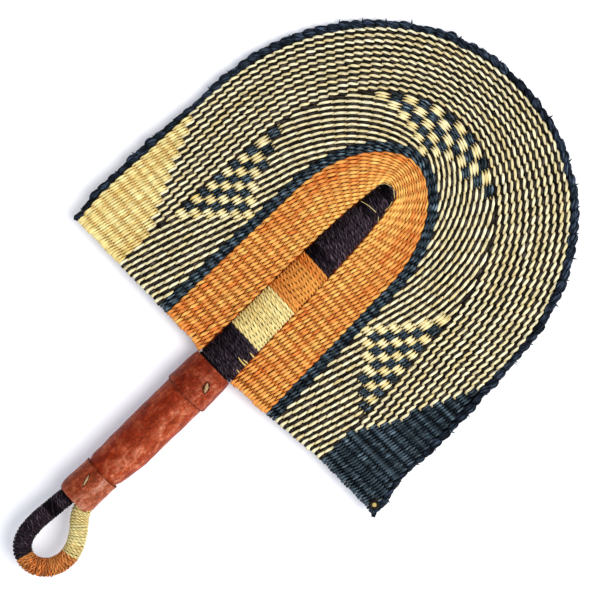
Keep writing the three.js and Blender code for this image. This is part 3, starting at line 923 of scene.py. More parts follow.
@dataclass
class Blade:
    """Woven blade: straw ribs, pairs of grass strands twined round them in rows, and a bound rim."""

    base_half_width: float = 139.2
    arch_half_width: float = 135.8
    tip_y: float = 267.6
    arch_y: float = 111.0
    arch_fullness: float = 2.12
    first_rib_y: float = FIRST_RIB_Y
    rim_lean: float = 5.8
    rim_width: float = 4.6
    rim_overlap: float = 0.6
    orange_base_half: float = 46.7
    orange_arch_half: float = 44.1
    orange_tip_y: float = 179.5
    panel_ribs_y: float = PANEL_RIBS_Y
    panel_fullness: float = 1.87
    border_width: float = 7.0
    panel_lean: float = -3.3
    panel_shift: float = -1.0
    rim_slip: Stops = ((0, 0.0), (0.8, 0.022), (1.2, 0.018), (2.1, 0.0))
    panel_slip: Stops = (
        (0, 0.0), (0.8, 0.026), (1.4, 0.04), (2.05, 0.058), (2.7, 0.03), (3.25, 0.004), (4, 0.0),
    )
    rim_growth: float = 1.9
    rim_swell: Stops = (
        (0, -0.7), (0.1, 1.4), (0.27, -0.8), (0.36, -0.6), (0.5, 1.6), (0.9, 1.8), (1.1, -1.0), (1.35, 0.9),
        (2.0, 0), (2.85, 0), (3.08, 2.4), (3.3, 1.5), (3.5, -0.5), (3.66, 1.8), (3.78, 1.0), (3.9, 2.4),
        (4.0, 2.0),
    )
    row_swell: Stops = ((0, 1.6), (0.1, 2.4), (0.7, 2.5), (1.0, 0.2), (1.4, 0))
    field_swell: float = 0.025
    base_turn: float = 1.9
    base_turn_range: tuple[float, float] = (0.8, 1.3)
    fold_rings: int = 5
    shade_sheet_thickness: float = 0.2
    rim_tip_slant: float = 0.35
    rim_tip_reach: tuple[float, float] = (0.55, 0.78)
    rim_tip_height: tuple[float, float] = (0.2, 1.4)
    rim_tip_shades: tuple[float, float] = (0.1, 0.5)
    rim_tip_width: float = 2.4
    rim_tip_depth: float = 1.5
    rim_tip_point: float = 0.3
    end_bow: float = 0.18
    end_height: float = 1.6
    knot_height: float = 2.9
    knot_girth: tuple[float, float] = (2.2, 2.4)
    end_width: float = 1.15
    rings_per_rib: int = 6
    strand_sides: int = 7
    checks_share: float = 0.45
    inner_stripes_share: float = 0.70
    corner_knot: tuple[float, float, float] = (138.0, 2.6, 2.5)
    loose_ends: tuple[LooseEnd, ...] = (
        LooseEnd((137.8, 1.2), (6.2, -4.6), 4.6, Tone.NAVY, 0.2),
        LooseEnd((138.6, -1.6), (4.4, -2.6), 3.0, Tone.NAVY, 0.7),
        LooseEnd((139.4, 4.6), (3.0, 2.2), 3.4, Tone.NAVY, 0.5),
        LooseEnd((136.6, 5.6), (3.6, 3.4), 2.4, Tone.INK, 0.5),
        LooseEnd((-133.2, -6.0), (-1.4, -3.6), 3.2, Tone.NAVY, 0.3),
        LooseEnd((112.6, 201.2), (4.0, 4.6), 0.9, Tone.NAVY, 0.8),
        LooseEnd((134.2, 132.4), (4.8, 2.6), 0.9, Tone.NAVY, 0.8),
        LooseEnd((130.0, 147.6), (4.2, 3.6), 0.8, Tone.STRAW, 0.6),
        LooseEnd((139.0, 20.6), (2.6, 0.8), 1.2, Tone.CREAM, 0.5),
    )
    zones: dict[str, Zone] = field(default_factory=dict)

    def outline(
        self, base_half: float, arch_half: float, tip_y: float, lean: float, lean_from: float,
        ribs_y: float, fullness: float, slip: Stops, shift: float = 0.0,
    ) -> Outline:
        """Draw an outline with straight sides and an arch.

        Args:
            base_half: Half width at the base.
            arch_half: Half width where the arch starts.
            tip_y: Height of the tip.
            lean: How far the tip leans to the side.
            lean_from: Height where the lean starts.
            ribs_y: Height that the side ribs reach on the line.
            fullness: Fullness of the arch, 2 for an ellipse.
            slip: How far the ribs stand back, at places along the line.
            shift: How far the whole line lies to the side.

        Returns:
            The outline.
        """
        turn = np.linspace(0, math.pi / 2, 240)
        power = 2 / fullness
        x = arch_half * np.maximum(np.cos(turn), 0) ** power
        y = self.arch_y + (tip_y - self.arch_y) * np.sin(turn) ** power
        quarter = np.stack([x, y], 1)
        if ribs_y < self.arch_y:
            share = (ribs_y - self.first_rib_y) / (self.arch_y - self.first_rib_y)
            quarter = np.vstack([[base_half + (arch_half - base_half) * share, ribs_y], quarter])
        return Outline(base_half, tip_y, lean, lean_from, self.first_rib_y, quarter, shift, slip)

    def rim_line(self, inset: float) -> Outline:
        """Draw the outline of the blade.

        Args:
            inset: How far it lies inside the outer edge of the rim.

        Returns:
            The outline.
        """
        base, arch = self.base_half_width - inset, self.arch_half_width - inset
        tip, start = self.tip_y - inset, self.arch_y
        return self.outline(base, arch, tip, self.rim_lean, start, start, self.arch_fullness, self.rim_slip)

    def panel_line(self, growth: float) -> Outline:
        """Draw the outline of the orange panel.

        Args:
            growth: How far it is grown outwards.

        Returns:
            The outline.
        """
        base, arch = self.orange_base_half + growth, self.orange_arch_half + growth
        tip, low = self.orange_tip_y + growth, self.first_rib_y
        form = (self.panel_fullness, self.panel_slip, self.panel_shift)
        return self.outline(base, arch, tip, self.panel_lean, low, self.panel_ribs_y, *form)

    def plan(self, spine_line: Outline) -> None:
        """Set out the zones from the spine to the rim.

        Args:
            spine_line: Edge line of the spine, where the first rows run.
        """
        orange, border = self.panel_line(0), self.panel_line(self.border_width)
        edge = replace(self.rim_line(self.rim_width - self.rim_overlap), bulge=self.row_swell)
        rim = (replace(self.rim_line(self.rim_width), bulge=self.row_swell),
               replace(self.rim_line(-self.rim_growth), bulge=self.rim_swell))
        checks, stripes = self.checks_share, self.inner_stripes_share
        bowed = {"side_swell": self.field_swell}
        made = [
            Zone("orange_rows", spine_line, orange, rows=13, arch_ribs=24, pattern=SolidRows(Tone.ORANGE),
                 swing=0.28, grain=0.88, flatness=0.8, deep_base=0.3, longest_run=5, shade_range=0.7,
                 arch_ease=0.3, arch_deepening=0.55, shade_sheet_in=0.8, rib_tuck=0.02),
            Zone("border_rows", orange, border, rows=3, arch_ribs=33, pattern=SolidRows(Tone.DARK)),
            Zone("checked_rows", border, edge, rows=18, arch_ribs=33, pattern=SpiralAndChecks(),
                 stop=checks, **bowed),
            Zone("inner_striped_rows", border, edge, rows=10, arch_ribs=50, pattern=StripesAndWedges(0),
                 start=checks, stop=stripes, **bowed),
            Zone("outer_striped_rows", border, edge, rows=12, arch_ribs=65, pattern=StripesAndWedges(10),
                 start=stripes, **bowed),
            Zone("rim_rope", *rim, rows=1, arch_ribs=58, pattern=SolidRows(Tone.NAVY), side_ribs=14,
                 depth_share=0.5, swing=0.14, rib_radius=0.4, grain=0.7, unevenness=0.08, plumpness=0.14,
                 shade_sheet_in=0.15, shade_sheet_out=-0.32),
        ]
        self.zones = {zone.name: zone for zone in made}

    def twine(self, zone: Zone, row: int, rng: np.random.Generator) -> Strand:
        """Twine one row: two strands that change faces between the ribs and join round the end ribs.

        Args:
            zone: Zone that the row lies in.
            row: Number of the row from the zone's inner edge.
            rng: Source of the draws.

        Returns:
            The row's closed loop.
        """
        last = zone.last_rib
        ribs = np.arange(last + 1)
        place = np.linspace(0, last, last * self.rings_per_rib + 1)
        near = np.floor(place + 0.5).astype(int)
        points, across, pitch = zone.line((row + 0.5) / zone.rows, place)
        high = points[::self.rings_per_rib, 1] / self.orange_tip_y
        shades = 0.5 + zone.shade_range * (shade_runs(last + 1, rng, zone.longest_run) - 0.5)
        shades = shades - zone.deep_base * (zone.pales_from - high)
        outer = (row + 0.5) / zone.rows - zone.deepens_from
        shades = shades - zone.arch_deepening * outer * zone.arch(ribs)
        drift = np.interp(place, ribs, rng.normal(0, zone.unevenness, last + 1))
        points = flat_to_space(points + across * (drift * pitch)[:, None])
        across = flat_to_space(across)
        reach = zone.flatness * (zone.rib_radius + zone.depth_share * pitch / 2)
        ease = zone.arch_ease * zone.arch(place)
        face, back = zone.pattern.tones(zone, row, ribs)
        strands = []
        for strand in (0, 1):
            turn = math.pi * (place + strand)
            cos, sin = np.cos(turn), np.sin(turn)
            tone = np.where(ribs % 2 == strand, face, back)
            spread, waist, crest, gap, warmth = LIE_TABLE[tone][near].T
            waist = waist + (zone.eased_waist - waist) * ease
            gap = gap + (1 - gap) * ease
            rise = np.sign(cos) * np.abs(cos) ** crest * reach
            slant = sin * zone.swing * pitch
            path = points + across * slant[:, None] + UP * rise[:, None]
            lump = np.abs(cos) ** zone.grain
            plump = rng.normal(1, zone.plumpness, last + 1)[near]
            width = pitch * (waist + (plump * spread - waist) * lump)
            thick = pitch * zone.depth_share * (zone.waist_depth + (1 - zone.waist_depth) * lump)
            # Painted shade: each stitch is darkened towards the ends where it dives between the ribs,
            # browned or blued by its tone's warmth.
            shade = gap + (1 - gap) * lump
            own = np.clip(shades + rng.normal(0, STITCH_NOISE, last + 1), 0, 1)
            tint = tint_of(tone, own)[near] * shade[:, None] ** (1 + warmth[:, None] * GAP_WARMTH)
            strands.append(Strand(path, np.tile(UP, (len(place), 1)), tint, width, thick))
        first, second = strands
        left, right = self.end_turn(first, second, -1, rng), self.end_turn(second, first, 0, rng)
        return Strand(*(np.concatenate(parts) for parts in zip(first, left, second.backwards(), right)))

    def end_turn(self, start: Strand, stop: Strand, end: int, rng: np.random.Generator) -> Strand:
        """Fold a strand round the end rib.

        Args:
            start: Strand on one face where the fold starts.
            stop: Strand on the other face where it ends.
            end: Ring of the two strands at the fold.
            rng: Source of the draws.

        Returns:
            The fold.
        """
        turn = np.linspace(0, math.pi, self.fold_rings + 2)[1:-1, None]
        middle, half = (start.path[end] + stop.path[end]) / 2, (start.path[end] - stop.path[end]) / 2
        reach = self.base_turn * rng.uniform(*self.base_turn_range)
        path = middle + half * np.cos(turn) + DOWN * reach * np.sin(turn)
        out = unit(half) * np.cos(turn) + DOWN * np.sin(turn)
        tint = np.where(turn < math.pi / 2, start.tint[end], stop.tint[end])
        same = np.ones(len(turn))
        return Strand(path, out, tint, same * self.end_width * start.width[end], same * start.thick[end])

    def build_zone(self, name: str, material: Material) -> Piece:
        """Weave all the rows of a zone as one piece.

        Args:
            name: Name of the zone and of the piece.
            material: Finish of the grass.

        Returns:
            The woven rows.
        """
        zone = self.zones[name]
        rng = draws_of(name)
        mesh = StrandMesh()
        for row in range(zone.rows):
            loop = self.twine(zone, row, rng)
            rings = sweep(loop.path, loop.out, loop.width, loop.thick, self.strand_sides, True)
            mesh.add(rings, loop.tint, True)
        if name == "rim_rope":
            self.add_rim_tips(mesh, zone, rng)
        return mesh.build(name, material)

    def build_shade_sheet(self, material: Material) -> Piece:
        """Lay a thin dark sheet in the middle of the rows, painted shade for the holes between the strands.

        Args:
            material: Finish of the sheet.

        Returns:
            The sheet.
        """
        mesh = StrandMesh()
        shades = np.array([linear(*SHADE_SHEET.get(tone, SHADE_SHEET[Tone.INK])) for tone in Tone])
        half = UP * self.shade_sheet_thickness / 2
        for zone in self.zones.values():
            ribs = np.arange(zone.last_rib + 1)
            tones = np.stack([zone.pattern.tones(zone, row, ribs)[0] for row in range(zone.rows)])
            rows = np.arange(zone.rows)
            beside = [tones[np.clip(rows + step, 0, zone.rows - 1)] for step in (-1, 0, 1)]
            tints = shades[np.stack(beside)].min(0)
            tints = np.minimum(tints, np.minimum(np.roll(tints, 1, 1), np.roll(tints, -1, 1)))
            edges = np.arange(zone.rows + 1.0)
            edges[0] -= zone.shade_sheet_in
            edges[-1] += zone.shade_sheet_out
            lines = [flat_to_space(zone.line(edge / zone.rows, ribs)[0]) for edge in edges]
            for low, high, tint in zip(lines, lines[1:], tints):
                mesh.add(np.stack([low - half, high - half, high + half, low + half], 1), tint)
        return mesh.build("row_shade_sheet", material)

    def add_rim_tips(self, mesh: StrandMesh, zone: Zone, rng: np.random.Generator) -> None:
        """Let a short pointed fibre end stand out between every second pair of the rim's beads.

        Args:
            mesh: Strands of the rim.
            zone: Zone of the rim.
            rng: Source of the draws.
        """
        share = np.linspace(0, 1, 5)
        width, depth = (
            girth + (self.rim_tip_point - girth) * share
            for girth in (self.rim_tip_width, self.rim_tip_depth)
        )
        for rib in np.arange(1.5, zone.last_rib, 2):
            spot, across, pitch = zone.line(0.5, np.array([rib]))
            slant = rng.normal(0, self.rim_tip_slant)
            heading = unit(across[0] + slant * np.array([-across[0, 1], across[0, 0]]))
            reach = pitch[0] * rng.uniform(*self.rim_tip_reach) * share
            height = rng.uniform(*self.rim_tip_height) * (1 - share)
            path = np.column_stack([spot[0] + heading * reach[:, None], height])
            tint = plain_tint(Tone.DARK, rng.uniform(*self.rim_tip_shades))
            mesh.add(sweep(path, UP, width, depth, 5), tint)

    def build_ends(self, material: Material) -> Piece:
        """Tie off the rim at its right corner and let a few fibre ends stand out from it.

        Args:
            material: Finish of the fibres.

        Returns:
            The knot and the fibre ends.
        """
        mesh = StrandMesh()
        share = np.linspace(0, 1, 7)
        for (x, y), (run_x, run_y), girth, tone, shade in self.loose_ends:
            bow = self.end_bow * np.sin(math.pi * share)
            across, along = x + run_x * share - run_y * bow, y + run_y * share + run_x * bow
            path = np.stack([across, along, self.end_height - share], 1)
            rings = sweep(path, UP, girth * (1 - 0.7 * share), girth * (0.9 - 0.6 * share), 5)
            mesh.add(rings, plain_tint(tone, shade))
        turn = np.linspace(0, 2 * math.pi, 20, endpoint=False)
        x, y, radius = self.corner_knot
        height = self.knot_height + 0.3 * np.sin(3 * turn)
        ring = np.stack([x + radius * np.cos(turn), y + radius * np.sin(turn), height], 1)
        mesh.add(sweep(ring, UP, *self.knot_girth, 7, True), plain_tint(Tone.INK, 0.3), True)
        stem = np.array([[x, y, -1.0], [x, y, 1.5], [x, y, 4.0]])
        cut = sweep(stem, np.array([1.0, 0.0, 0.0]), 1.2 * radius, 1.2 * radius, 10)
        mesh.add(cut, 0.7 * plain_tint(Tone.CREAM, 0.3))
        return mesh.build("rim_ends", material)

    def build_ribs(self, material: Material) -> Piece:
        """Lay the straw ribs of every zone, each tucked a little way into the next zone.

        Args:
            material: Finish of the straw.

        Returns:
            The ribs.
        """
        rng = np.random.default_rng(11)
        mesh = StrandMesh()
        for name, zone in self.zones.items():
            if name == "rim_rope":
                continue
            for rib in range(zone.last_rib + 1):
                shares = (-zone.rib_tuck, 0.5, 0.99)
                stops = [zone.line(share, np.array([float(rib)]))[0] for share in shares]
                path = flat_to_space(np.concatenate(stops))
                girth = 2 * zone.rib_radius * rng.uniform(0.9, 1.0)
                mesh.add(sweep(path, UP, girth, girth, 6), plain_tint(Tone.STRAW, rng.uniform(0.3, 1)))
        return mesh.build("straw_ribs", material)


class Band(NamedTuple):
    """One band of cord wound round the spine or the loop.

    Attributes:
        name: Name of the piece.
        low: Where the band starts, as a height on the spine or a share of the loop's length.
        high: Where it ends.
        tone: Colour of its grass.
        light: How much lighter its grass is than the tone's middle shade.
        slot: Material slot of its grass.
        node: CAD winding that it stands for.
    """

    name: str
    low: float
    high: float
    tone: Tone
    light: float
    slot: str
    node: str


@dataclass
class Spine:
    """Flat oval spine, wound from base to tip with bands of coloured grass cord."""

    base_y: float = -9.9
    tip_y: float = 156.6
    base_half_height: float = 8.6
    tip_half_height: float = 7.0
    lean: float = -4.3
    first_rib_y: float = FIRST_RIB_Y
    ribs_y: float = PANEL_RIBS_Y
    margin: float = 0.3
    narrow_height: float = 0.55
    narrow_share: float = 0.92
    thread_rise: float = 0.9
    thread_sunk: float = 0.45
    rings_per_turn: int = 56
    # Painted light: how much lighter the right side of each turn is painted than the middle, and the left
    # side darker.
    side_light: float = 0.32
    core_start_y: float = -116.0
    core_grip_half: float = 9.3
    core_neck_y: float = -20.0
    core_tip_gap: float = 2.0
    core_least_half: float = 0.5
    winding_least_half: float = 0.4
    drift: float = 0.04
    lift: float = 0.08
    longest_run: int = 6
    # Colour of the core under each band, up to each height: darker than the band, so the gaps between turns
    # show painted shade.
    core_shades: tuple[tuple[float, Colour], ...] = (
        (17.2, (14, 9, 12)), (52.0, (128, 100, 48)), (84.2, (110, 50, 14)), (200.0, (14, 9, 12)),
    )
    taper: Stops = (
        (-9.9, 14.2), (92, 12.1), (105, 11.5), (125, 10.3), (136, 9.2), (146, 8.1), (151.6, 7.4),
        (154.4, 6.4), (155.8, 4.7), (156.6, 2.6),
    )
    bands: tuple[Band, ...] = (
        Band("base_black_winding", -10.4, 17.2, Tone.BLACK, 0.25, "black_grass", "wrap_base_black"),
        Band("cream_winding", 17.2, 52.0, Tone.CREAM, 0.22, "cream_grass", "wrap_cream"),
        Band("orange_winding", 52.0, 84.2, Tone.AMBER, 0.12, "orange_grass", "wrap_orange"),
        Band("upper_black_winding", 84.2, 136.0, Tone.BLACK, -0.1, "black_grass", "wrap_upper_black"),
        Band("tip_black_winding", 136.0, 156.4, Tone.BLACK, -0.1, "black_grass", "wrap_tip_black"),
    )
    threads: tuple[tuple[float, Stops], ...] = (
        (0.42, ((-11.9, 151.8), (-8.6, 155.2), (-3.6, 156.2), (2.0, 152.6))),
        (0.42, ((-11.9, 135.3), (-6.6, 136.3), (0.0, 137.0))),
        (0.42, ((3.3, 136.3), (5.9, 134.0))),
        (0.42, ((2.4, 150.0), (3.6, 146.4), (3.4, 142.6))),
        (1.5, ((6.0, 5.4), (9.8, 4.9), (13.6, 5.0))),
        (1.2, ((9.2, 6.6), (13.4, 7.0))),
        (1.4, ((9.2, 13.0), (13.4, 12.8))),
        (1.2, ((11.2, -0.8), (13.8, -1.2))),
    )
    cord: Cord = Cord()

    def half_width(self, y: np.ndarray) -> np.ndarray:
        """Return the half width at heights."""
        return np.interp(y, *np.array(self.taper).T)

    def half_height(self, y: np.ndarray) -> np.ndarray:
        """Return the half height at heights, drawn in where the tip narrows."""
        straight = np.interp(y, [self.base_y, self.tip_y], [self.base_half_height, self.tip_half_height])
        return np.minimum(straight, self.narrow_height + self.narrow_share * self.half_width(y))

    def middle(self, y: np.ndarray) -> np.ndarray:
        """Return how far the spine leans to the side at heights."""
        return self.lean * np.maximum(y - self.first_rib_y, 0) / (self.tip_y - self.first_rib_y)

    def outline(self) -> Outline:
        """Draw the edge line that the first rows of the blade run along.

        Returns:
            The edge line.
        """
        y = np.linspace(self.ribs_y, self.tip_y, 300)
        edge = np.stack([self.half_width(y) + self.margin, y], 1)
        edge = np.vstack([edge, [0, self.tip_y + self.margin]])
        base = float(self.half_width(np.array(self.first_rib_y))) + self.margin
        return Outline(base, self.tip_y + self.margin, self.lean, self.first_rib_y, self.first_rib_y, edge)

    def build_band(self, band: Band, material: Material) -> Piece:
        """Wind one band of cord round the spine.

        Args:
            band: Band to wind.
            material: Finish of its grass.

        Returns:
            The wound band.
        """
        rng = draws_of(band.name)
        turns = round((band.high - band.low) / self.cord.girth)
        pitch = (band.high - band.low) / turns
        count = turns * self.rings_per_turn + 1
        turn = np.linspace(0, turns * 2 * math.pi, count)
        knots = np.linspace(0, count - 1, 4 * turns + 1)
        drift = wander(knots, count, self.drift, rng)
        lift = wander(knots, count, self.lift, rng)
        y = band.low + pitch * turn / (2 * math.pi)
        wide, tall = (
            np.maximum(half - self.cord.girth / 2, self.winding_least_half) + lift
            for half in (self.half_width(y), self.half_height(y))
        )
        cos, sin = np.cos(turn + math.pi), np.sin(turn + math.pi)
        path = np.stack([self.middle(y) + wide * cos, y + drift * pitch, tall * sin], 1)
        out = np.stack([cos / wide, np.zeros_like(y), sin / tall], 1)
        shades = np.repeat(shade_runs(turns + 1, rng, self.longest_run), self.rings_per_turn)[:count]
        # Painted light and shade: the right side of each turn is painted lighter and the left side darker.
        shades = shades + band.light + self.side_light * cos
        mesh = self.cord.wind(path, out, np.full(count, pitch), band.tone, shades, rng)
        return mesh.build(band.name, material)

    def build_core(self, name: str, side: int, material: Material) -> Piece:
        """Make one half of the stiff core, before or behind the ribs.

        Args:
            name: Name of the piece.
            side: 1 for the front half and -1 for the back half.
            material: Finish of the core.

        Returns:
            The half core.
        """
        wound = np.linspace(self.base_y, self.tip_y - self.core_tip_gap, 120)
        y = np.concatenate([[self.core_start_y, self.core_neck_y], wound])
        half = np.maximum(self.half_width(y) - self.cord.girth, self.core_least_half)
        tall = np.maximum(self.half_height(y) - self.cord.girth, self.core_least_half)
        half[:2] = tall[:2] = self.core_grip_half
        path = np.stack([self.middle(y), y, side * tall / 2], 1)
        # Painted shade: the core is coloured darker under each band so the gaps between turns look shaded.
        shades = np.array([linear(*colour) for _, colour in self.core_shades])
        tints = shades[np.searchsorted([top for top, _ in self.core_shades], y)]
        mesh = StrandMesh()
        mesh.add(sweep(path, UP, 2 * half, tall, 24), tints)
        return mesh.build(name, material)

    def build_threads(self, material: Material) -> Piece:
        """Lay the fine cream threads that tie off the windings at the tip and at the base.

        Args:
            material: Finish of the threads.

        Returns:
            The threads.
        """
        rng = np.random.default_rng(5)
        mesh = StrandMesh()
        for girth, stops in self.threads:
            line = smooth_line(stops, 8)
            share = np.linspace(0, 1, len(line))
            x, y = line.T
            off = np.clip(np.abs((x - self.middle(y)) / self.half_width(y)), 0, 0.98)
            bow = self.thread_rise * np.sin(math.pi * share) ** 0.4 - self.thread_sunk
            rise = self.half_height(y) * np.sqrt(1 - off**2) + bow
            path = np.column_stack([line, rise])
            swell = girth * (0.3 + 0.7 * share) if girth > 1 else girth
            mesh.add(sweep(path, UP, swell, 0.7, 6), plain_tint(Tone.CREAM, rng.uniform(0.2, 0.6)))
        return mesh.build("tie_threads", material)


@dataclass
class Grip:
    """Leather sleeve with a collar at each end, each collar closed by a thong stitch."""

    top_y: float = -10.6
    end_y: float = -137.0
    end_radius: float = 11.7
    wall: float = 2.0
    setback: float = 8.0
    upper_length: float = 25.0
    lower_length: float = 25.5
    sides: int = 72
    ring_step: float = 2.0
    stitch_rings: int = 15
    lip_shadow_rings: int = 96
    sleeve_stops: Stops = (
        (13.6, -107), (14.2, -99.5), (15.0, -88), (15.25, -66), (15.3, -40), (15.1, -10.6),
    )
    lean_stops: Stops = (
        (-137, -1.6), (-110, -1.25), (-99, -0.6), (-86, -0.2), (-66, -0.4), (-10, -0.6),
    )
    lip_sag: float = 1.8
    lip_reach: float = 14.0

    def turn(self, name: str, stops: list[tuple[float, float]]) -> Piece:
        """Turn a closed wall about the grip's axis.

        Args:
            name: Name of the piece.
            stops: Radius and height of each corner of the wall, round the section.

        Returns:
            The turned piece.
        """
        fine = []
        for (radius, y), (next_radius, next_y) in zip(stops, stops[1:] + stops[:1]):
            steps = max(1, round(abs(next_y - y) / self.ring_step))
            for step in range(steps):
                share = step / steps
                fine.append((radius + (next_radius - radius) * share, y + (next_y - y) * share))
        bpy.ops.object.select_all(action="DESELECT")
        start = {"location": (0, fine[0][1], 0), "rotation": (math.pi / 2, 0, 0)}
        bpy.ops.mesh.primitive_circle_add(vertices=self.sides, radius=fine[0][0], **start)
        piece = bpy.context.object
        piece.name = piece.data.name = name
        bpy.ops.object.transform_apply()
        bpy.ops.object.mode_set(mode="EDIT")
        bpy.ops.mesh.select_all(action="SELECT")
        for (radius, y), (next_radius, next_y) in zip(fine, fine[1:] + fine[:1]):
            bpy.ops.mesh.extrude_region_move(TRANSFORM_OT_translate={"value": (0, next_y - y, 0)})
            grow = next_radius / radius
            bpy.ops.transform.resize(value=(grow, 1, grow), center_override=(0, next_y, 0))
        bpy.ops.mesh.select_all(action="SELECT")
        bpy.ops.mesh.remove_doubles(threshold=0.001)
        bpy.ops.mesh.normals_make_consistent(inside=False)
        bpy.ops.object.mode_set(mode="OBJECT")
        return piece

    def crumple(self, piece: Piece, size: float, depth: float) -> None:
        """Press soft hollows into a leather piece.

        Args:
            piece: Piece to shape.
            size: Size of the hollows.
            depth: Depth of the deepest.
        """
        lumps = bpy.data.textures.new(piece.name + "_lumps", "CLOUDS")
        lumps.noise_scale = size
        press = piece.modifiers.new("press", "DISPLACE")
        press.texture = lumps
        press.strength = depth
        press.mid_level = 1.0
        bpy.context.view_layer.objects.active = piece
        bpy.ops.object.modifier_apply(modifier="press")
        bpy.ops.object.shade_smooth_by_angle(angle=math.radians(40))

    def lean(self, y: np.ndarray) -> np.ndarray:
        """Return how far the grip bends to the side at heights."""
        return np.interp(y, *np.array(self.lean_stops).T)

    def bend(self, piece: Piece, lip_y: float | None = None) -> None:
        """Bend a leather piece as the grip bends, and let its lip sag in front.

        Args:
            piece: Piece to bend.
            lip_y: Height of a lip that sags, if it has one.
        """
        spots = np.empty(3 * len(piece.data.vertices))
        piece.data.vertices.foreach_get("co", spots)
        spots = spots.reshape(-1, 3)
        x, y, z = spots.T.copy()
        spots[:, 0] = x + self.lean(y)
        if lip_y is not None:
            near = np.clip(1 - np.abs(y - lip_y) / self.lip_reach, 0, 1)
            spots[:, 1] = y - self.lip_sag * near * np.maximum(z, 0) / np.hypot(x, z)
        piece.data.vertices.foreach_set("co", spots.ravel())

    def build_sleeve(self) -> Piece:
        """Turn the sleeve, thick at the blade and narrow at the loop.

        Returns:
            The sleeve.
        """
        low, high = self.end_y + self.setback, self.end_y + self.lower_length - 1
        outer = [(self.end_radius, low), (self.end_radius, high), *self.sleeve_stops]
        bore = [(radius - self.wall, y) for radius, y in reversed(outer)]
        piece = self.turn("leather_sleeve", outer + bore)
        self.crumple(piece, 9.0, 0.7)
        self.bend(piece)
        return piece

    def build_upper_collar(self) -> Piece:
        """Turn the collar at the blade, swelling to a sharp lip.

        Returns:
            The collar.
        """
        low, bore = self.top_y - self.upper_length, self.sleeve_stops[-1][0] + 0.05
        piece = self.turn("upper_leather_collar", [
            (bore, low), (bore + 1.3, low), (bore + 1.6, low + 0.7), (bore + 1.4, low + 4),
            (bore + 1.2, self.top_y - 12), (bore + 0.8, self.top_y - 3), (bore + 0.2, self.top_y),
            (bore - 1.0, self.top_y),
        ])
        self.crumple(piece, 8.0, 0.6)
        self.bend(piece, low)
        return piece

    def build_lower_collar(self) -> Piece:
        """Turn the collar at the loop, lipped at the top and rounded at the end.

        Returns:
            The collar.
        """
        high, bore = self.end_y + self.lower_length, self.end_radius + 0.15
        piece = self.turn("lower_leather_collar", [
            (bore, self.end_y), (bore + 0.2, self.end_y), (bore + 1.3, self.end_y + 2.0),
            (bore + 2.0, self.end_y + 5), (bore + 1.7, high - 7), (bore + 1.5, high - 3.4),
            (bore + 1.5, high - 2.6), (bore + 1.7, high - 1.6), (bore + 1.6, high), (bore, high),
        ])
        self.crumple(piece, 8.0, 0.5)
        self.bend(piece)
        return piece

    def build_stitch(
        self, name: str, start: tuple[float, float], stop: tuple[float, float], radius: float, girth: float,
        material: Material,
    ) -> Piece:
        """Lay a thong stitch on a collar, both ends sunk in a slit in the leather, the slit a dark strip of
        painted shade.

        Args:
            name: Name of the piece.
            start: Place of one end, across the collar and along it.
            stop: Place of the other end.
            radius: Radius of the collar there.
            girth: Width of the thong.
            material: Finish of the thong.

        Returns:
            The stitch.
        """
        share = np.linspace(0, 1, self.stitch_rings)
        level = np.zeros_like(share)
        mesh = StrandMesh()
        swell = np.sin(math.pi * share)
        # The slit in the leather as a dark strip, painted shade in its opening, then the thong that bridges
        # it
        layers = [(1.2, 0.15 + 0.2 * swell, 0.3 + 1.9 * girth * swell, 0.5, (92, 44, 26)),
                  (0.95, 1.1 * swell**0.6 - 0.4, 0.3 + 0.8 * girth * swell, 0.9, (184, 154, 114))]
        for stretch, rise, width, thick, colour in layers:
            along = 0.5 + (share - 0.5) * stretch
            x = start[0] + (stop[0] - start[0]) * along
            y = start[1] + (stop[1] - start[1]) * along
            angle = np.arcsin(x / radius)
            out = np.stack([np.sin(angle), level, np.cos(angle)], 1)
            path = out * (radius + rise)[:, None] + np.stack([self.lean(y), y, level], 1)
            mesh.add(sweep(path, out, width, thick, 8), linear(*colour))
        return mesh.build(name, material)

    def build_lip_shadow(
        self, name: str, y: float, radius: float, sag: float, girth: float, material: Material
    ) -> Piece:
        """Lay a dark ring under a collar's lip round the sleeve: painted shadow where the lip steps down to
        the sleeve.

        Args:
            name: Name of the piece.
            y: Height of the lip.
            radius: Radius of the ring.
            sag: How far the lip sags in front.
            girth: Width of the ring.
            material: Finish of the edge.

        Returns:
            The ring.
        """
        turn = np.linspace(0, 2 * math.pi, self.lip_shadow_rings, endpoint=False)
        out = np.stack([np.cos(turn), np.zeros_like(turn), np.sin(turn)], 1)
        level = y - sag * np.maximum(np.sin(turn), 0)
        path = out * radius + np.stack([self.lean(level), level, np.zeros_like(turn)], 1)
        mesh = StrandMesh()
        mesh.add(sweep(path, out, girth, 1.0, 6, True), linear(108, 48, 30), True)
        return mesh.build(name, material)


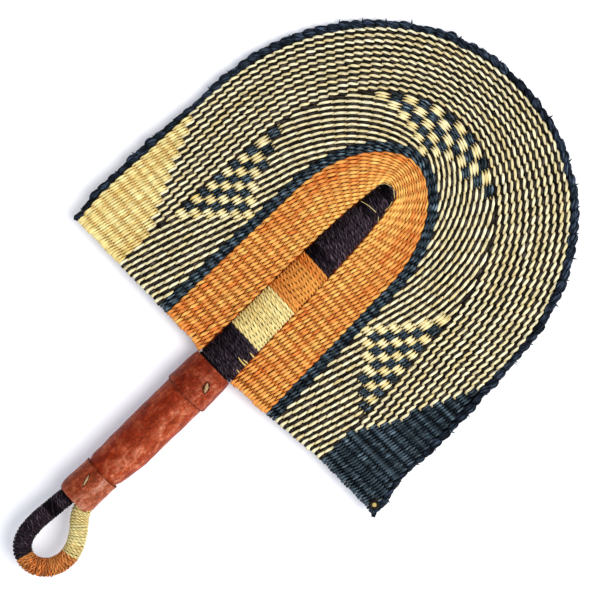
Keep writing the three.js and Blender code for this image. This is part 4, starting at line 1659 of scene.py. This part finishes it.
@dataclass
class HangingLoop:
    """Loop at the end of the grip, wound with three colours of grass cord."""

    winding_radius: float = 6.3
    core_radius: float = 5.6
    turn_pitch: float = 1.9
    rings_per_turn: int = 32
    drift: float = 0.1
    lift: float = 0.08
    longest_run: int = 5
    look_ahead: float = 0.5
    route: Stops = (
        (-4.75, -117), (-4.75, -129), (-6.2, -139), (-7.4, -152), (-8.0, -166), (-6.2, -176.4),
        (-1.6, -182.8), (5.2, -185.6), (12.8, -184.2), (19.4, -178.4), (22.8, -169.6), (21.9, -160.2),
        (16.8, -150.6), (8, -139.5), (4.75, -129), (4.75, -117),
    )
    bare_share: float = 0.116
    orange_share: float = 0.457
    cream_share: float = 0.678
    cord: Cord = Cord(girth=1.4, lay=6.4, offset_share=0.3, width_share=0.64, dip=0.3)
    # Colour of the core under each band: darker than the band, painted shade for the gaps between turns.
    core_shades: tuple[Colour, ...] = ((14, 9, 13), (84, 36, 14), (122, 88, 46))

    @property
    def bands(self) -> list[Band]:
        """List the three bands, end to end round the loop.

        Returns:
            The bands.
        """
        bare, orange, cream = self.bare_share, self.orange_share, self.cream_share
        rows = (
            ("loop_black_winding", bare, orange, Tone.BLACK, -0.1, "black_grass", "loop_wrap_black"),
            ("loop_orange_winding", orange, cream, Tone.RUST, 0.12, "orange_grass", "loop_wrap_orange"),
            ("loop_cream_winding", cream, 1 - bare, Tone.CREAM, 0.45, "cream_grass", "loop_wrap_cream"),
        )
        return [Band(*row) for row in rows]

    def build_core(self, name: str, material: Material) -> Piece:
        """Bend the core that the three bands are wound on, coloured darker under each band as painted shade
        in the gaps between turns.

        Args:
            name: Name of the piece.
            material: Finish of the core.

        Returns:
            The core.
        """
        line = smooth_line(self.route, 20)
        walked = walked_along(line)
        shades = np.array([linear(*shade) for shade in self.core_shades])
        tints = shades[np.searchsorted([self.orange_share, self.cream_share], walked / walked[-1])]
        girth = 2 * self.core_radius
        mesh = StrandMesh()
        mesh.add(sweep(flat_to_space(line), UP, girth, girth, 20), tints)
        return mesh.build(name, material)

    def build_band(self, band: Band, material: Material) -> Piece:
        """Wind one band of cord round the loop.

        Args:
            band: Band to wind.
            material: Finish of its grass.

        Returns:
            The wound band.
        """
        rng = draws_of(band.name)
        line = smooth_line(self.route)
        walked = walked_along(line)
        start, stop = band.low * walked[-1], band.high * walked[-1]
        turns = round((stop - start) / self.turn_pitch)
        count = turns * self.rings_per_turn + 1
        knots = np.linspace(0, count, 3 * turns + 1)
        drift = wander(knots, count, self.drift, rng)
        lift = wander(knots, count, self.lift, rng)
        run = np.linspace(start, stop, count) + drift
        turn = np.linspace(0, turns * 2 * math.pi, count)
        centre, ahead = (
            np.stack([np.interp(at, walked, part) for part in line.T], 1)
            for at in (run, run + self.look_ahead)
        )
        along = unit(ahead - centre)
        across = flat_to_space(np.stack([-along[:, 1], along[:, 0]], 1))
        out = across * np.cos(turn)[:, None] + UP * np.sin(turn)[:, None]
        path = flat_to_space(centre) + out * (self.winding_radius - self.cord.girth / 2 + lift)[:, None]
        room = np.linalg.norm(path[self.rings_per_turn:] - path[:-self.rings_per_turn], axis=1)
        room = np.concatenate([room, room[-self.rings_per_turn:]])
        runs = shade_runs(turns + 1, rng, self.longest_run)
        shades = band.light + np.repeat(runs, self.rings_per_turn)[:count]
        return self.cord.wind(path, out, room, band.tone, shades, rng).build(band.name, material)


@dataclass
class Studio:
    """Pale floor, soft light and the camera over the fan."""

    view_x: float = 7.1
    view_y: float = 60.9
    view_width: float = 0.396
    distance: float = 1.15
    turn: float = 46.1
    lamp_power: float = 30.0
    lamp_size: float = 1.1
    lamp_place: tuple[float, float, float] = (0.72, 0.36, 1.7)
    lamp_colour: tuple[float, float, float] = (1.0, 0.98, 0.95)
    lamp_aim: tuple[float, float, float] = (0.0, 0.02, 0.0)
    room_light: float = 0.72
    room_colour: tuple[float, float, float] = (0.9, 0.94, 1.0)

    def build_floor(self) -> None:
        """Lay the floor."""
        bpy.ops.object.select_all(action="DESELECT")
        bpy.ops.mesh.primitive_plane_add(size=8)
        floor = bpy.context.object
        floor.name = "studio_floor"
        bpy.ops.object.mode_set(mode="EDIT")
        bpy.ops.mesh.subdivide(number_cuts=3)
        bpy.ops.object.mode_set(mode="OBJECT")
        paper = PlainFinish(
            "pale_floor", (244, 244, 246), roughness=0.9, grain=3.0, grain_depth=0.01, glow=(96, 97, 108)
        )
        floor.data.materials.append(paper.material())

    def build_lights(self) -> None:
        """Hang one large lamp to the side and let the pale room fill the rest."""
        lamp = bpy.data.lights.new("window_light", "AREA")
        lamp.shape = "DISK"
        lamp.size = self.lamp_size
        lamp.energy = self.lamp_power
        lamp.color = self.lamp_colour
        holder = bpy.data.objects.new("window_light", lamp)
        holder.location = self.lamp_place
        aim = Vector(self.lamp_aim) - holder.location
        holder.rotation_euler = aim.to_track_quat("-Z", "Y").to_euler()
        bpy.context.scene.collection.objects.link(holder)
        world = bpy.data.worlds.new("pale_room")
        bpy.context.scene.world = world
        world.use_nodes = True
        sky = world.node_tree.nodes["Background"]
        sky.inputs["Color"].default_value = (*self.room_colour, 1)
        sky.inputs["Strength"].default_value = self.room_light
        bpy.context.scene.view_settings.view_transform = "Standard"

    def build_camera(self, fan: FanFrame) -> None:
        """Hold the camera straight over the fan, turned as in the photograph.

        Args:
            fan: Lie of the fan in the world.
        """
        lens = bpy.data.cameras.new("camera")
        lens.lens = lens.sensor_width * self.distance / self.view_width
        holder = bpy.data.objects.new("camera", lens)
        holder.location = fan.matrix @ Vector((self.view_x, self.view_y, 2)) + Vector((0, 0, self.distance))
        holder.rotation_euler = (0, 0, math.radians(self.turn))
        bpy.context.scene.collection.objects.link(holder)
        bpy.context.scene.camera = holder


def settle(piece: Piece, fan: FanFrame, slot: str, *nodes: str) -> None:
    """Carry a piece into the world, hang it on the root body and hide the CAD parts it stands for.

    Args:
        piece: Piece in the fan's millimetres.
        fan: Lie of the fan in the world.
        slot: Not used.
        nodes: CAD nodes that the piece stands for.
    """
    fan.place(piece)
    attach(piece, "root")
    if nodes:
        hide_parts(*nodes)
    LOG.info("%s: %d faces", piece.name, len(piece.data.polygons))


def main() -> None:
    """Build the fan piece by piece and set it in the studio."""
    logging.basicConfig(level=logging.INFO, format="%(name)s %(message)s")
    blade, spine, grip, loop, studio = Blade(), Spine(), Grip(), HangingLoop(), Studio()
    fan = FanFrame.from_cad(blade.first_rib_y)
    blade.plan(spine.outline())
    grass = GrassFinish("woven_grass").material()
    wound = GrassFinish(
        "wound_grass", roughness=0.7, fibre_length=7.0, fibres_round=6.0, bump_depth=0.00012, glint=3.9
    ).material()
    rope = GrassFinish(
        "rim_grass", roughness=0.7, fibre_length=6.0, fibres_round=16.0, fibre_dark=0.45, bump_depth=0.0003,
        glint=4.2,
    ).material()
    straw = GrassFinish(
        "rib_straw", roughness=0.5, fibre_length=12.0, fibre_dark=0.8, bump_depth=0.0001
    ).material()
    leather = LeatherFinish("goat_leather")
    deep_leather = LeatherFinish("upper_collar_leather", (80, 13, 4), (128, 38, 16), (190, 98, 68))
    pale_leather = LeatherFinish("lower_collar_leather", (96, 30, 15), (146, 59, 33), (204, 123, 94))
    thong = GrassFinish(
        "thong_leather", roughness=0.7, fibre_length=2.0, fibres_round=4.0, fibre_dark=0.5,
        bump_depth=0.0002,
    ).material()

    ribs = [name for name in sorted(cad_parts) if "rib" in name.split("_")]
    settle(blade.build_ribs(straw), fan, "straw", *ribs)
    rows = {
        "orange_rows": ("orange_grass", ["orange_weft"]),
        "border_rows": ("dark_grass", ["border_weft"]),
        "checked_rows": ("cream_grass", ["field_weft_1", "field_weft_2", "field_weft_3"]),
        "inner_striped_rows": ("cream_grass", ["field_weft_4", "field_weft_5"]),
        "outer_striped_rows": ("cream_grass", ["field_weft_6", "field_weft_7"]),
        "rim_rope": ("dark_grass", ["rim_binding"]),
    }
    # Painted shade: a thin dark sheet in the middle of the rows.
    settle(blade.build_shade_sheet(grass), fan, "straw")
    for name, (slot, nodes) in rows.items():
        settle(blade.build_zone(name, rope if name == "rim_rope" else grass), fan, slot, *nodes)

    for band in spine.bands:
        settle(spine.build_band(band, wound), fan, band.slot, band.node)

    for piece, finish, node in (
        (grip.build_sleeve(), leather, "grip_sleeve"),
        (grip.build_upper_collar(), deep_leather, "upper_collar"),
        (grip.build_lower_collar(), pale_leather, "lower_collar"),
    ):
        piece.data.materials.append(finish.material())
        settle(piece, fan, "grip_leather", node)
    low, high = grip.top_y - grip.upper_length, grip.end_y + grip.lower_length
    for piece in (
        grip.build_stitch("upper_stitch", (4.6, -20.0), (8.4, -26.8), 15.9, 2.6, thong),
        grip.build_stitch("lower_stitch", (-4.6, -116.8), (-1.8, -125.0), 13.2, 1.3, thong),
        # Painted shadow rings under the lips of the two collars.
        grip.build_lip_shadow("upper_collar_lip_shadow", low - 0.2, 15.9, grip.lip_sag, 0.55, thong),
        grip.build_lip_shadow("lower_collar_lip_shadow", high + 0.2, 13.1, 0.4, 0.5, thong),
    ):
        settle(piece, fan, "grip_leather")

    for band in loop.bands:
        settle(loop.build_band(band, wound), fan, band.slot, band.node)

    settle(spine.build_core("front_core", 1, wound), fan, "straw", "spine_front")
    settle(spine.build_core("back_core", -1, wound), fan, "straw", "spine_back")
    settle(spine.build_threads(wound), fan, "cream_grass")
    settle(loop.build_core("loop_filling", wound), fan, "straw", "loop_core")
    settle(blade.build_ends(grass), fan, "dark_grass")

    studio.build_floor()
    studio.build_lights()
    studio.build_camera(fan)
    LOG.info("studio: floor, light and camera")


if __name__ == "__main__":
    main()
